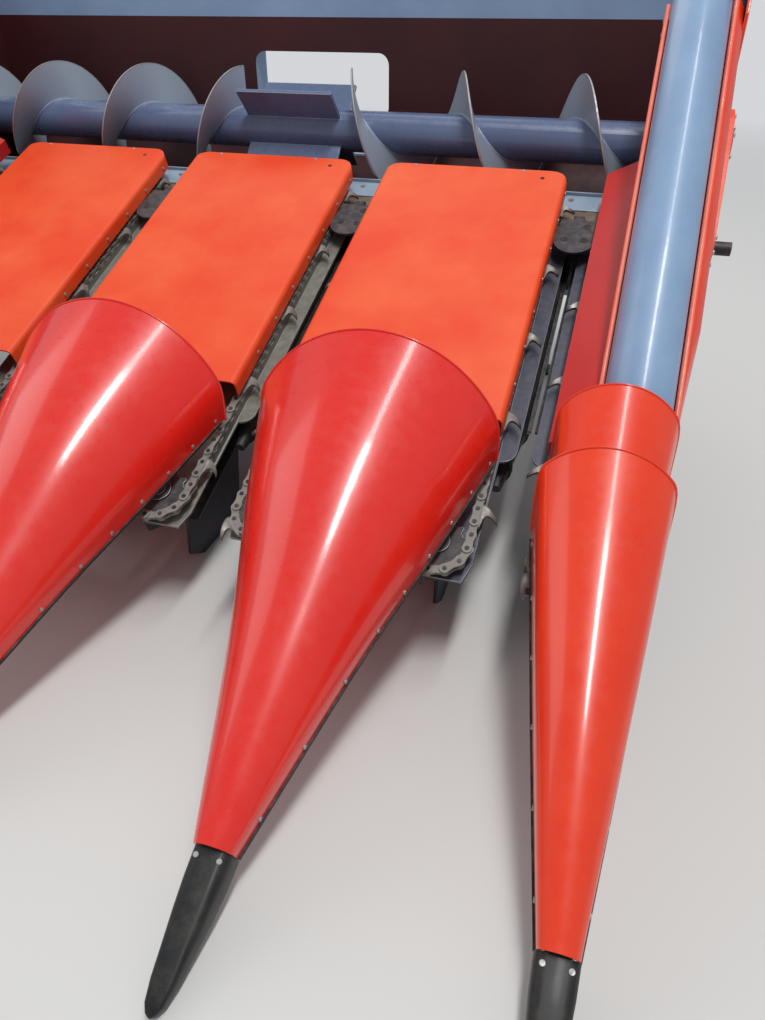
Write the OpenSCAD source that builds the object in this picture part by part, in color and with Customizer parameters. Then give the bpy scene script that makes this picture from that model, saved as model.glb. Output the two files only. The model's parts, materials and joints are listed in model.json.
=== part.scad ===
// Four-row maize header of a combine harvester, parked on the ground by itself.
// The hoods and row units lie on one slope that falls towards the front, which is -Y.
// On that slope v runs backwards from the hoods' rear edge and n stands square to it.

/* [Rows] */
// Distance between neighbouring crop rows
row_pitch = 600; // [580:5:700]
// Clear width between two hoods, where the stalks pass
stalk_gap = 98; // [80:2:110]
// Fall of the hoods and row units towards the front, in degrees
slope = 21.3; // [19:0.1:23]
// Air between the divider tips and the ground
tip_ground_gap = 4; // [3:1:60]

/* [Hoods] */
// Length of a hood's full-width sheet
hood_len = 895; // [860:5:930]
// Thickness of the folded sheet
sheet = 4; // [2:0.5:6]
// Depth of a hood's side lips
hood_lip = 40; // [20:2:42]
// Radius of a hood's rear corners, seen from above
hood_corner_r = 45; // [20:5:80]
// Radius of a hood's folded edges
hood_fold_r = 14; // [8:1:20]

/* [Snouts] */
// Length of a snout along the slope, from its hinge pin to the tip piece
snout_len = 867; // [800:1:950]
// Height of an inner snout's crown at its rear edge
snout_crown = 195; // [150:5:230]
// Height of the end snouts' crown at their rear edge
end_snout_crown = 150; // [130:5:170]
// Width of an end snout at its rear edge
end_snout_w = 236; // [228:2:244]
// Width of a snout where its tip piece starts
nose_w = 66; // [50:2:90]
// Length of a tip piece
tip_len = 216; // [150:2:260]
// Depth of the snouts' side walls below the slope
snout_lip = 30; // [20:1:32]

/* [Row units] */
// Depth of the deck plates' underside below the slope
deck_drop = 91; // [88:1:100]
// Thickness of a deck plate
deck_t = 6; // [4:1:8]
// Width of the slot between two deck plates
deck_slot = 32; // [30:2:50]
// Length of chain that runs ahead of the deck plates
deck_step = 300; // [260:5:330]
// Distance between a chain loop's two shafts
chain_run = 1065; // [1000:5:1100]
// Pitch radius of the chain wheels
chain_r = 60; // [56:1:62]
// Width of a chain's link plates
chain_w = 22; // [16:1:26]
// Height of a chain
chain_h = 16; // [10:1:18]
// Hooked lugs on one chain loop
lug_count = 10; // [8:1:12]
// Reach of a lug beyond the link plates
lug_reach = 32; // [20:1:33]
// Distance from the row's middle to a stalk roll's axis
roll_x = 50; // [50:1:54]
// Radius over a stalk roll's knives
roll_r = 46; // [38:1:46]
// Length of a stalk roll's knives
roll_len = 585; // [500:5:620]
// Length of a stalk roll's spiral nose
roll_nose_len = 170; // [120:5:200]
// Radius of a stalk roll's core
roll_core_r = 38; // [30:1:40]
// Depth of the row unit's rails
rail_h = 130; // [125:1:150]

/* [Auger and trough] */
// Outer radius of the auger's flights
flight_r = 168; // [150:1:175]
// Radius of the auger tube
auger_tube_r = 57.5; // [45:0.5:70]
// Advance of the flights in one turn
flight_pitch = 335; // [300:5:360]
// Gap between the flights and the trough
trough_gap = 25; // [12:1:30]
// Distance of the auger's axis behind the hoods' rear edge
auger_back = 200; // [195:1:230]
// Height of the auger's axis above the hoods' rear edge
auger_up = 45; // [30:1:60]

/* [Frame] */
// Half the distance between the side plates' outer faces
side_x = 1204; // [1200:1:1210]
// Thickness of a side plate
side_t = 8; // [6:1:12]
// Size of the square frame tubes
tube_w = 80; // [70:2:90]
// Height of the top tube's underside above the hoods' rear edge
top_up = 333; // [320:1:380]
// Width of the feeder opening
feeder_w = 454; // [420:2:500]
// Height of the feeder opening
feeder_h = 290; // [260:5:300]
// Depth of the feeder opening's top below the top tube
feeder_drop = 93; // [70:1:110]

/* [End guards] */
// Radius of the end guard tube
guard_r = 65; // [50:1:66]
// Rise of the end guard tube, in degrees
guard_rise = 37.8; // [36:0.1:39]

/* [Hidden] */
$fn = 48;
running_gap = 0.3;

// Rows stand at these places, and a divider between each two
row_xs = [-1.5 * row_pitch, -0.5 * row_pitch, 0.5 * row_pitch, 1.5 * row_pitch];
hood_w = row_pitch - stalk_gap;
end_inner_x = row_xs[3] + stalk_gap / 2;

// Hinge pins of the snouts, on the slope
pin_r = 8;
pin_n = -26;
pin_gap = 0.3;
inner_pin_v = -hood_len - 40;
end_pin_v = inner_pin_v - 105;
nose_v = inner_pin_v - snout_len;
tip_v = nose_v - tip_len;
tip_top_n = 0;
tip_bottom_n = -16;

// The slope's rear edge stands so high that the tips just clear the ground
hood_z = tip_ground_gap - tip_v * sin(slope) - tip_bottom_n * cos(slope);
frame_back = auger_back + flight_r + trough_gap + 2 * sheet + tube_w;
front_reach = -(tip_v * cos(slope) - tip_top_n * sin(slope));
hood_y = (front_reach - frame_back) / 2;

// Row unit levels on the slope
deck_top = deck_drop - deck_t;
deck_back_v = -45;
chain_n = -66;
wheel_x = chain_r + chain_w / 2 + stalk_gap / 2;
wheel_v = -110;
roll_n = -deck_drop - 56;
rail_x = 104;
rail_w = 40;
rail_t = 6;
rail_v = wheel_v - chain_run - chain_r;
gearbox_v = -200;
gearbox_drop = -deck_drop - rail_h;
roll_v = gearbox_v - 5;
roll_shaft_r = 18;
roll_shaft_len = 65;
roll_tip_r = 12;
knife_t = 8;
skid_start = 120;
skid_len = 300;
skid_toe = 40;
deck_front_r = 32;
scraper_n = -46;
scraper_t = 6;
scraper_half = 42;
cover_half = 96;
cover_t = 4;

shaft_v = -70;
shaft_r = 20;
input_r = 17.5;
input_len = 50;

// Auger
auger_y = hood_y + auger_back;
auger_z = hood_z + auger_up;
auger_half = side_x - side_t - 14;
auger_shaft_r = 22;
paddle_len = 300;
paddle_t = 10;
feed_half = 172;
flight_t = 6;
flight_steps = 24;
trough_flange = 40;
trough_r = flight_r + trough_gap;
auger_n = auger_up * cos(slope) - auger_back * sin(slope);
lip_angle = 180 + slope + asin((deck_drop - sheet + auger_n) / (trough_r + sheet / 2));
lip_v = auger_back * cos(slope) + auger_up * sin(slope) + trough_r * cos(lip_angle - slope);

// Frame
frame_y = hood_y + frame_back - tube_w;
top_z = hood_z + top_up;
low_z = hood_z - 175;
side_inner = side_x - side_t;
side_front = 40;
side_step = 220;
side_drop = 350;
bar_w = 100;
web_t = 12;
case_t = 36;
case_r = 95;
upright_x = feeder_w / 2 + tube_w / 2;
outer_upright_x = 1090;
feeder_top = top_z - feeder_drop;
feeder_z = feeder_top - feeder_h;
feeder_corner_r = 34;
bolt_r = 9;
bolt_zs = [top_z - 60, top_z - 340];

// Collar behind an end snout, and the guard tube whose low end stands in it
rake = tan(slope);
collar_v = -hood_len - 50;
guard_x = 1101;
guard_low = [(collar_v - 20) * cos(slope) - 33 * sin(slope), (collar_v - 20) * sin(slope) + 33 * cos(slope)];
guard_up = guard_low[1] - guard_low[0] * tan(guard_rise);
guard_top_y = 78;
channel_low_y = guard_low[0] + 71;
end_wall_x = 1026;
end_rear_gap = 40;
end_wall_v = -hood_len - 108;
end_wall_drop = 53;
end_rear_top = 268;
rim_x = 1176;
ridge_n = 44;
skirt_tilt = 4;
end_post_x = 92;

// Parking stands
stand_x = 800;
stand_drop = 75;
stand_pivot_z = low_z - stand_drop;
stand_leg = 50;
stand_pin_r = 12;
stand_side_gap = 5;
ear_t = 10;
foot_w = 120;
foot_t = 10;

red = [0.86, 0.24, 0.14];
dark_red = [0.72, 0.14, 0.12];
steel = [0.42, 0.43, 0.45];
dark = [0.16, 0.16, 0.17];
blue_grey = [0.55, 0.64, 0.74];
pale = [0.66, 0.7, 0.76];

// Points of an arc from angle a0 to a1
function arc(cx, cy, r, a0, a1, steps = 6) =
    [for (i = [0:steps]) let(a = a0 + (a1 - a0) * i / steps) [cx + r * cos(a), cy + r * sin(a)]];

// Places its children in the sloped frame: y is v, z is n
module on_slope() {
    translate([0, hood_y, hood_z]) rotate([slope, 0, 0]) children();
}

// Extrudes a section drawn in x and n from v_back forward to v_front
module along_slope(v_back, v_front) {
    translate([0, v_back, 0]) rotate([90, 0, 0]) linear_extrude(v_back - v_front) children();
}

// Extrudes a side profile drawn in y and z, or v and n, from x0 to x1
module across(x0, x1) {
    translate([x0, 0, 0]) rotate([90, 0, 90]) linear_extrude(x1 - x0) children();
}

// A cylinder along x from x0 to x1
module rod_x(x0, x1, r) {
    translate([x0, 0, 0]) rotate([0, 90, 0]) cylinder(r = r, h = x1 - x0);
}

// Half outline of an arch: side wall up to the shoulder, then one arc over the crown
function arch(w, shoulder, crown, lip, steps) =
    let(rise = crown - shoulder, r = (w * w + rise * rise) / (2 * rise), a = asin(min(1, w / r)))
    concat([[-w, -lip]], arc(0, crown - r, r, 90 + a, 90 - a, steps), [[w, -lip]]);

function reversed(list) = [for (i = [len(list) - 1:-1:0]) list[i]];

// Closed outline of an arched shell of thickness t
function shell_ring(w, shoulder, crown, lip, t, steps) = concat(
    arch(w, shoulder, crown, lip, steps),
    reversed(arch(w - t, shoulder, crown - t, lip, steps)));

// Arched shell through stations [v, middle x, half width, shoulder, crown, rake];
// rake leans a station's plane backwards as it rises
module arched_shell(stations, lip, t, steps = 12) {
    rings = [for (s = stations)
        [for (p = shell_ring(s[2], s[3], s[4], lip, t, steps)) [s[1] + p[0], s[0] + s[5] * p[1], p[1]]]];
    count = len(rings[0]);
    last = len(rings) - 1;
    points = [for (ring = rings) each ring];
    sides = [for (k = [0:last - 1], i = [0:count - 1])
        let(j = (i + 1) % count, a = k * count, b = a + count)
        each [[a + i, a + j, b + j], [a + i, b + j, b + i]]];
    // Each end closes with two triangles between the outer and inner arch at every step
    half = count / 2;
    first_end = [for (i = [0:half - 2])
        each [[i, count - 1 - i, i + 1], [i + 1, count - 1 - i, count - 2 - i]]];
    last_end = [for (f = first_end) [for (q = reversed(f)) q + last * count]];
    polyhedron(points, concat(sides, first_end, last_end), convexity = 6);
}

// Frame of square tubes behind the auger, with the tool bar that carries the row units
module main_frame() {
    color(blue_grey) {
        for (z = [top_z, low_z]) {
            translate([-side_inner, frame_y, z]) cube([2 * side_inner, tube_w, tube_w]);
        }
        for (s = [-1, 1]) {
            upright(s * outer_upright_x);
            difference() {
                upright(s * upright_x);
                for (z = bolt_zs) translate([s * upright_x, frame_y - 1, z]) rotate([-90, 0, 0])
                    cylinder(r = bolt_r, h = tube_w + 2);
            }
        }
        for (span = [[low_z + tube_w, feeder_z], [feeder_top, top_z]])
            translate([-feeder_w / 2, frame_y, span[0]]) cube([feeder_w, tube_w, span[1] - span[0]]);
        on_slope() translate([-side_inner, -bar_w, gearbox_drop - bar_w])
            cube([2 * side_inner, bar_w, bar_w]);
        for (x = [-stand_x, stand_x]) {
            stand_ears(x);
        }
    }
}

// Upright between the rear tubes with the web plate in front of it
module upright(x) {
    translate([x - tube_w / 2, frame_y, low_z + tube_w]) cube([tube_w, tube_w, top_z - low_z - tube_w]);
    across(x - web_t / 2, x + web_t / 2) gusset_profile();
}

// Web plate under the trough, from the tool bar to the rear tube
module gusset_profile() {
    difference() {
        polygon([
            slope_point(-bar_w / 2, gearbox_drop - 5),
            slope_point(2, gearbox_drop - 5),
            slope_point(20, gearbox_drop + 40),
            [frame_y + 5, auger_z - trough_r * 0.4],
            [frame_y + 5, low_z + 10],
            slope_point(60, gearbox_drop - bar_w + 10),
            slope_point(-bar_w / 2, gearbox_drop - bar_w + 10)]);
        translate([auger_y, auger_z]) circle(r = trough_r + sheet, $fn = 96);
    }
}

// Two ears below the rear tube that hold a parking stand's pin
module stand_ears(x) {
    translate([0, frame_y + tube_w / 2, 0]) {
        for (y = [-stand_leg / 2 - stand_side_gap - ear_t, stand_leg / 2 + stand_side_gap]) {
            difference() {
                translate([x, y, stand_pivot_z]) rotate([-90, 0, 0]) linear_extrude(ear_t)
                    polygon([[-30, -stand_drop], [30, -stand_drop], [22, 22], [-22, 22]]);
                translate([x, y - 1, stand_pivot_z]) rotate([-90, 0, 0])
                    cylinder(r = stand_pin_r + pin_gap, h = ear_t + 2);
            }
        }
    }
}

// Hinged leg with its foot plate and the pin it turns on
module stand(x) {
    color(dark) translate([x, frame_y + tube_w / 2, 0]) {
        translate([-stand_leg / 2, -stand_leg / 2, foot_t])
            cube([stand_leg, stand_leg, stand_pivot_z - foot_t + 20]);
        translate([-foot_w / 2, -tube_w / 2, 0]) cube([foot_w, tube_w, foot_t]);
        translate([0, -stand_leg / 2 - stand_side_gap - ear_t, stand_pivot_z]) rotate([-90, 0, 0])
            cylinder(r = stand_pin_r, h = stand_leg + 2 * (stand_side_gap + ear_t));
    }
}

// Rear sheet with the feeder opening, whose upper corners are round
module back_sheet() {
    corner_x = feeder_w / 2 - feeder_corner_r;
    corner_z = feeder_top - feeder_corner_r;
    color(dark_red) difference() {
        translate([-side_inner, frame_y - sheet, auger_z])
            cube([2 * side_inner, sheet, top_z + tube_w - auger_z]);
        translate([0, frame_y + sheet, 0]) rotate([90, 0, 0]) linear_extrude(3 * sheet) polygon(concat(
            [[-feeder_w / 2, feeder_z], [feeder_w / 2, feeder_z]],
            arc(corner_x, corner_z, feeder_corner_r, 0, 90),
            arc(-corner_x, corner_z, feeder_corner_r, 90, 180)));
    }
}

// Round trough under the auger, with the apron that reaches forward to the decks
module auger_trough() {
    color(dark_red) {
        difference() {
            across(-side_inner, side_inner) polygon(concat(
                arc(auger_y, auger_z, trough_r, lip_angle, 360, 32),
                [[auger_y + trough_r, auger_z + trough_flange]],
                [[auger_y + trough_r + sheet, auger_z + trough_flange]],
                reversed(arc(auger_y, auger_z, trough_r + sheet, lip_angle, 360, 32))));
            translate([-feeder_w / 2, auger_y, feeder_z])
                cube([feeder_w, trough_r + 2 * sheet, auger_z + trough_flange]);
        }
        on_slope() across_apron();
    }
}

// Apron from the trough's front lip to the gearboxes' tops
module across_apron() {
    translate([-side_inner, deck_back_v, -deck_drop]) cube([2 * side_inner, lip_v - deck_back_v, sheet]);
}

// Side plate that closes the auger's end and carries its bearing
module side_plate(side) {
    color(dark_red) difference() {
        across(side > 0 ? side_inner : -side_x, side > 0 ? side_x : -side_inner) polygon([
            [hood_y - side_front, hood_z - side_step],
            [hood_y - side_front, guard_point(-side_front)[1]],
            [hood_y + guard_top_y - side_front / 2, hood_z + guard_up + 2 * guard_r],
            [frame_y + tube_w, top_z + tube_w],
            [frame_y + tube_w, low_z],
            [hood_y + bar_w, hood_z - side_drop + side_front / 2],
            [hood_y - side_front / 2, hood_z - side_drop],
            [hood_y - 1.5 * side_front, hood_z - side_step]]);
        translate([0, auger_y, auger_z]) rod_x(-side_x - 5, side_x + 5, auger_shaft_r + pin_gap);
        on_slope() translate([0, shaft_v, roll_n]) rod_x(-side_x - 5, side_x + 5, shaft_r + pin_gap);
    }
    color(dark_red) scale_x(side) translate([0, guard_point(guard_top_y)[0], guard_point(guard_top_y)[1]])
        rotate([guard_rise, 0, 0]) translate([guard_x - guard_r, 0, -guard_r])
            cube([side_x - 2 - guard_x + guard_r, side_t, 2 * guard_r]);
}

// Closed chain case on the outside of a side plate
module drive_case(side) {
    case_back = [auger_y, auger_z];
    case_front = slope_point(shaft_v, roll_n);
    a = atan2(case_front[1] - case_back[1], case_front[0] - case_back[0]);
    color(red) difference() {
        across(side > 0 ? side_x : -side_x - case_t, side > 0 ? side_x + case_t : -side_x) polygon(concat(
            arc(case_back[0], case_back[1], case_r, a + 90 - 180, a + 90 - 360, 16),
            arc(case_front[0], case_front[1], case_r * 0.7, a + 90, a - 90, 12)));
        translate([0, auger_y, auger_z]) rod_x(-side_x - 12, side_x + 12, auger_shaft_r + 6);
        on_slope() translate([0, shaft_v, roll_n])
            rod_x(-side_x - case_t - 5, side_x + case_t + 5, shaft_r + pin_gap);
    }
}

// Drive shaft between the gearboxes, in pieces that end at the gearboxes
module cross_shaft() {
    gearbox_half = rail_x + rail_w;
    case_face = side_x + case_t;
    color(steel) on_slope() translate([0, shaft_v, roll_n]) {
        for (k = [0:4]) {
            from = k == 0 ? -case_face : row_xs[k - 1] + gearbox_half;
            to = k == 4 ? case_face : row_xs[k] - gearbox_half;
            rod_x(from, to, shaft_r);
        }
        for (s = [-1, 1]) scale_x(s) rod_x(case_face - 1, case_face + input_len, input_r);
    }
}

// Tube of the auger with its shafts and the four paddles in front of the feeder
module auger_tube() {
    color(blue_grey) translate([0, auger_y, auger_z]) {
        rod_x(-auger_half, auger_half, auger_tube_r);
        rod_x(-side_x - 8, side_x + 8, auger_shaft_r);
        for (a = [45:90:315]) rotate([a, 0, 0])
            translate([-paddle_len / 2, -paddle_t / 2, auger_tube_r - 4])
                cube([paddle_len, paddle_t, flight_r - auger_tube_r - 6]);
    }
}

// Flights that carry from both ends to the middle
module auger_flights() {
    turns = (auger_half - feed_half - 2 * flight_t) / flight_pitch;
    color(pale) translate([0, auger_y, auger_z]) {
        flight(feed_half, turns);
        mirror([1, 0, 0]) flight(feed_half, turns);
    }
}

// One helical flight that starts at x0; it goes from the top to the front as x grows
module flight(x0, turns) {
    inner = (auger_tube_r + running_gap) / cos(180 / flight_steps);
    steps = ceil(turns * flight_steps);
    points = [for (i = [0:steps]) let(a = i * turns * 360 / steps, x = x0 + flight_pitch * a / 360)
        each [for (c = [[0, inner], [0, flight_r], [flight_t, flight_r], [flight_t, inner]])
            [x + c[0], -c[1] * sin(a), c[1] * cos(a)]]];
    sides = [for (i = [0:steps - 1], k = [0:3]) let(a = 4 * i + k, b = 4 * i + (k + 1) % 4)
        each [[a, b, b + 4], [a, b + 4, a + 4]]];
    last = 4 * steps;
    ends = [[3, 2, 1], [3, 1, 0], [last, last + 1, last + 2], [last, last + 2, last + 3]];
    polyhedron(points, concat(sides, ends), convexity = 10);
}

// Gearbox, two rails and the skid under one row
module row_frame(x) {
    color(steel) on_slope() translate([x, 0, 0]) {
        difference() {
            translate([-rail_x, gearbox_v, gearbox_drop]) cube([2 * rail_x, -gearbox_v, rail_h]);
            for (s = [-1, 1]) {
                translate([s * roll_x, gearbox_v + roll_shaft_len, roll_n]) rotate([90, 0, 0])
                    cylinder(r = roll_shaft_r + pin_gap, h = roll_shaft_len + 2);
            }
        }
        for (s = [-1, 1]) scale_x(s) rail();
        scraper();
    }
    skid_x = rail_x + rail_w - 4;
    color(steel) for (s = [-1, 1]) across(x + s * skid_x - 4, x + s * skid_x + 4) skid_profile();
}

// Scraper that strips stalks off the lugs, on a post through the slot's rear end, and the cover plate
module scraper() {
    post_half = deck_slot / 2 - 2;
    translate([-post_half, gearbox_v, -deck_drop]) cube([2 * post_half, 75, deck_drop + scraper_n + 1]);
    translate([0, 0, scraper_n]) linear_extrude(scraper_t) polygon(concat(
        [[scraper_half, gearbox_v + 50]],
        arc(0, gearbox_v - 34, scraper_half * 1.2, 0, -180, 12),
        [[-scraper_half, gearbox_v + 50]]));
    translate([-cover_half, gearbox_v + 60, -deck_top]) cube([2 * cover_half, 90, cover_t]);
}

// Mirrors its children to the left where s is -1
module scale_x(s) {
    mirror([s < 0 ? 1 : 0, 0, 0]) children();
}

// Channel-section rail on the right of a row, cut back at its front end
module rail() {
    difference() {
        translate([rail_x, rail_v, gearbox_drop]) cube([rail_w, -rail_v, rail_h]);
        translate([rail_x - 1, rail_v - 1, gearbox_drop + rail_t])
            cube([rail_w - rail_t + 1, gearbox_v - rail_v - 1, rail_h - 2 * rail_t]);
        across(rail_x - 1, rail_x + rail_w + 1)
            polygon([[rail_v - 1, gearbox_drop - 1], [rail_v + 110, gearbox_drop - 1], [rail_v - 1, -deck_drop - 30]]);
    }
}

// Skid plate below a rail, flat on the ground
module skid_profile() {
    front = rail_v + skid_start;
    back = front + skid_len;
    under = gearbox_drop + 2 * rail_t;
    polygon([
        slope_point(front, under),
        slope_point(back, under),
        [slope_point(back, under)[0] - skid_toe, skid_toe],
        [slope_point(back, under)[0] - 110, 0],
        [slope_point(front, under)[0] + skid_toe, 0],
        [slope_point(front, under)[0] - 14, 34]]);
}

// Row frame point (y, z) of a place on the slope
function slope_point(v, n) = [hood_y + v * cos(slope) - n * sin(slope), hood_z + v * sin(slope) + n * cos(slope)];

// Two deck plates with the slot between them, and the guide bars under the chains
module row_deck(x) {
    color(dark) on_slope() translate([x, 0, 0]) for (s = [-1, 1]) scale_x(s) {
        translate([0, 0, -deck_drop]) linear_extrude(deck_t) polygon(concat(
            [[deck_slot / 2, deck_back_v], [rail_x + rail_w, deck_back_v], [rail_x + rail_w, rail_v]],
            [[wheel_x - chain_r, rail_v], [chain_bar_x() - 4, rail_v + 40]],
            arc(deck_slot / 2 + deck_front_r, rail_v + deck_step + deck_front_r, deck_front_r, 270, 180)));
        translate([chain_bar_x(), wheel_v - chain_run + 90, -deck_top])
            cube([chain_w - 6, chain_run - 180, -chain_n_gap() + deck_top]);
    }
}

function chain_bar_x() = wheel_x - chain_r - chain_w / 2 + 3;
function chain_n_gap() = -chain_n + running_gap;

// Both gathering chains of a row, each one closed loop with hooked lugs, and their wheels
module row_chains(x) {
    color(steel) on_slope() translate([x, 0, 0]) for (s = [-1, 1]) scale_x(s) {
        translate([wheel_x, wheel_v, chain_n]) linear_extrude(chain_h) chain_outline(s);
        for (v = [wheel_v, wheel_v - chain_run]) {
            translate([wheel_x, v, -deck_top]) cylinder(r = 15, h = chain_h + deck_top + chain_n + 6);
            translate([wheel_x, v, chain_n + 3]) cylinder(r = chain_r - chain_w / 2 - running_gap, h = chain_h - 6);
        }
    }
}

// Chain loop outline about the rear wheel; the two chains' lugs meet the slot by turns
module chain_outline(side) {
    outer = chain_r + chain_w / 2;
    inner = chain_r - chain_w / 2;
    loop_len = 2 * chain_run + 2 * PI * chain_r;
    difference() {
        union() {
            polygon(concat(arc(0, 0, outer, 0, 180, 16), arc(0, -chain_run, outer, 180, 360, 16)));
            for (i = [0:lug_count - 1]) place_on_loop((i + (side > 0 ? 0.8 : 0.3)) * loop_len / lug_count) lug();
        }
        polygon(concat(arc(0, 0, inner, 0, 180, 16), arc(0, -chain_run, inner, 180, 360, 16)));
    }
}

// Moves a child to the distance d along the loop: down the outer run, round the front,
// up the inner run and round the rear; the child's y points outwards
module place_on_loop(d) {
    bend = PI * chain_r;
    if (d < chain_run) translate([chain_r, -d]) rotate(-90) children();
    else if (d < chain_run + bend) translate([0, -chain_run]) rotate(-(d - chain_run) / chain_r * 180 / PI)
        translate([chain_r, 0]) rotate(-90) children();
    else if (d < 2 * chain_run + bend)
        translate([-chain_r, -chain_run + (d - chain_run - bend)]) rotate(90) children();
    else rotate(180 - (d - 2 * chain_run - bend) / chain_r * 180 / PI)
        translate([chain_r, 0]) rotate(-90) children();
}

// Hooked lug on the outside of a chain: its front bulges forwards in the chain's travel, its tip trails
module lug() {
    root = chain_w / 2 - 2;
    tip = chain_w / 2 + lug_reach;
    h = tip - root;
    polygon([[-26, root], [26, root], [21, root + 0.4 * h], [9, root + 0.75 * h], [-6, tip], [-15, tip - 2],
        [-7, tip - 0.25 * h], [2, root + 0.5 * h], [3, root + 0.28 * h], [-5, root + 4], [-24, root + 3]]);
}

// Stalk roll: shaft, core with six knives, and a spiral nose
module roll(x, side) {
    color(steel) on_slope() translate([x + side * roll_x, roll_v, roll_n]) rotate([90, 0, 0]) {
        translate([0, 0, -roll_shaft_len]) cylinder(r = roll_shaft_r, h = roll_shaft_len + 10);
        linear_extrude(roll_len) {
            circle(r = roll_core_r);
            for (i = [0:5]) rotate(60 * i) translate([roll_core_r - 10, -knife_t / 2])
                square([roll_r - roll_core_r + 10, knife_t]);
        }
        translate([0, 0, roll_len]) cylinder(r1 = roll_core_r, r2 = roll_tip_r, h = roll_nose_len);
        translate([0, 0, roll_len]) nose_spiral(side);
    }
}

// Rib that winds along the conical nose
module nose_spiral(side) {
    steps = 24;
    turns = 1.5;
    rib_h = roll_r - roll_core_r;
    points = [for (i = [0:steps])
        let(f = i / steps, a = side * 360 * turns * f, z = roll_nose_len * f)
        let(r = roll_core_r - (roll_core_r - roll_tip_r) * f, top = r + (rib_h - 2) * (1 - 0.3 * f))
        each [for (c = [[r - 4, -5], [top, -3], [top, 3], [r - 4, 5]])
            [c[0] * cos(a), c[0] * sin(a), min(roll_nose_len, max(0, z + c[1]))]]];
    sides = [for (i = [0:steps - 1], k = [0:3]) let(a = 4 * i + k, b = 4 * i + (k + 1) % 4)
        each (side > 0 ? [[a, b, b + 4], [a, b + 4, a + 4]] : [[b + 4, b, a], [a + 4, b + 4, a]])];
    first_end = side > 0 ? [[3, 2, 1], [3, 1, 0]] : [[1, 2, 3], [0, 1, 3]];
    n = 4 * steps;
    last_end = side > 0 ? [[n, n + 1, n + 2], [n, n + 2, n + 3]] : [[n + 2, n + 1, n], [n + 3, n + 2, n]];
    polyhedron(points, concat(sides, first_end, last_end), convexity = 6);
}

// Filled hood section and plan, both drawn about the hood's middle
function hood_section(w, d, r) = concat([[-w / 2, -d]], arc(-w / 2 + r, -r, r, 180, 90),
    arc(w / 2 - r, -r, r, 90, 0), [[w / 2, -d]]);
function hood_plan(w, length, r) = concat([[-w / 2, -length]], arc(-w / 2 + r, -r, r, 180, 90),
    arc(w / 2 - r, -r, r, 90, 0), [[w / 2, -length]]);

// Inner hood: folded sheet, rear wall, tongue with the snout's pin, and posts to the decks
module hood(x) {
    tongue_w = 2 * pin_plate_x + 16;
    color(red) on_slope() translate([x, 0, 0]) {
        difference() {
            intersection() {
                along_slope(0, -hood_len) polygon(hood_section(hood_w, hood_lip, hood_fold_r));
                translate([0, 0, -hood_lip - 1]) linear_extrude(hood_lip + 2)
                    polygon(hood_plan(hood_w, hood_len, hood_corner_r));
            }
            intersection() {
                translate([0, 0, -sheet]) along_slope(0, -hood_len - 1)
                    polygon(hood_section(hood_w - 2 * sheet, hood_lip, hood_fold_r - sheet));
                translate([0, -sheet, -hood_lip - 2]) linear_extrude(hood_lip + 2)
                    polygon(hood_plan(hood_w - 2 * sheet, hood_len, hood_corner_r - sheet));
            }
        }
        translate([-hood_w / 2 + hood_corner_r, -sheet, -deck_drop + sheet])
            cube([hood_w - 2 * hood_corner_r, sheet, deck_drop - 2 * sheet]);
        translate([-tongue_w / 2, -hood_len - 55, -sheet]) cube([tongue_w, 60, sheet]);
        snout_pin_seat(inner_pin_v, pin_plate_x);
        for (s = [-1, 1], v = post_vs) post(s * (row_pitch / 2 - post_x), v);
    }
}

post_x = 125;
post_vs = [-375, -hood_len + 125];
pin_plate_x = 165;
arm_x = 153;

// Square post from the deck up to the level top_n, in a hood's sheet
module post(x, v, top_n = -sheet + 1) {
    translate([x - 10, v - 20, -deck_top]) cube([20, 40, deck_top + top_n]);
}

// Two plates below a tongue with the fixed pin of a snout
module snout_pin_seat(v, plate_x) {
    for (s = [-1, 1]) translate([s * plate_x - 3, v - 12, pin_n - 10]) cube([6, 32, -pin_n + 8]);
    translate([0, v, pin_n]) rod_x(-plate_x - 4, plate_x + 4, pin_r);
}

// Snout: arched shell with a bulkhead and two arms that hang on the pin
module snout(x, stations, pin_v, arm, bulkhead_v, steps = 12) {
    bulkhead_w = 2 * half_at(stations, bulkhead_v) - sheet;
    color(red) on_slope() {
        arched_shell(stations, snout_lip, sheet, steps);
        translate([x - bulkhead_w / 2, bulkhead_v, -snout_lip + 2]) cube([bulkhead_w, 5, 60]);
        for (s = [-1, 1]) difference() {
            across(x + s * arm - 3, x + s * arm + 3) polygon(concat(
                [[bulkhead_v + 4, pin_n + 8]],
                [[bulkhead_v + 4, pin_n - 2]],
                [[pin_v - 12, pin_n - 8]],
                arc(pin_v, pin_n, 14, 235, 495, 10)));
            translate([x, pin_v, pin_n]) rod_x(-arm - 9, arm + 9, pin_r + pin_gap);
        }
    }
}

// Half width of an arched shell at v, between its first two stations
function half_at(st, v) = st[0][2] + (st[1][2] - st[0][2]) * (st[0][0] - v) / (st[0][0] - st[1][0]);

inner_rear_v = inner_pin_v - 25;
end_rear_v = end_pin_v - 72;
inner_half = 255;
end_nose_x = 1103;
end_rear_x = 1067;

// Stations of an inner snout about x: v, middle, half width, shoulder, crown, rake
function inner_stations(x) = [
    [inner_rear_v, x, inner_half, 42, snout_crown, rake],
    [inner_rear_v - 230, x, 194, 22, snout_crown * 0.83, rake * 0.3],
    [inner_rear_v - 480, x, 122, 6, snout_crown * 0.5, 0],
    [nose_v, x, nose_w / 2, 0, 22, 0]];

// Stations of the right end snout
end_stations = [
    [end_rear_v, end_rear_x, end_snout_w / 2, 92, end_snout_crown, rake],
    [end_rear_v - 330, end_rear_x + 16, 78, 48, end_snout_crown * 0.64, 0],
    [nose_v, end_nose_x, nose_w / 2 - 4, 4, 24, 0]];

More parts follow.
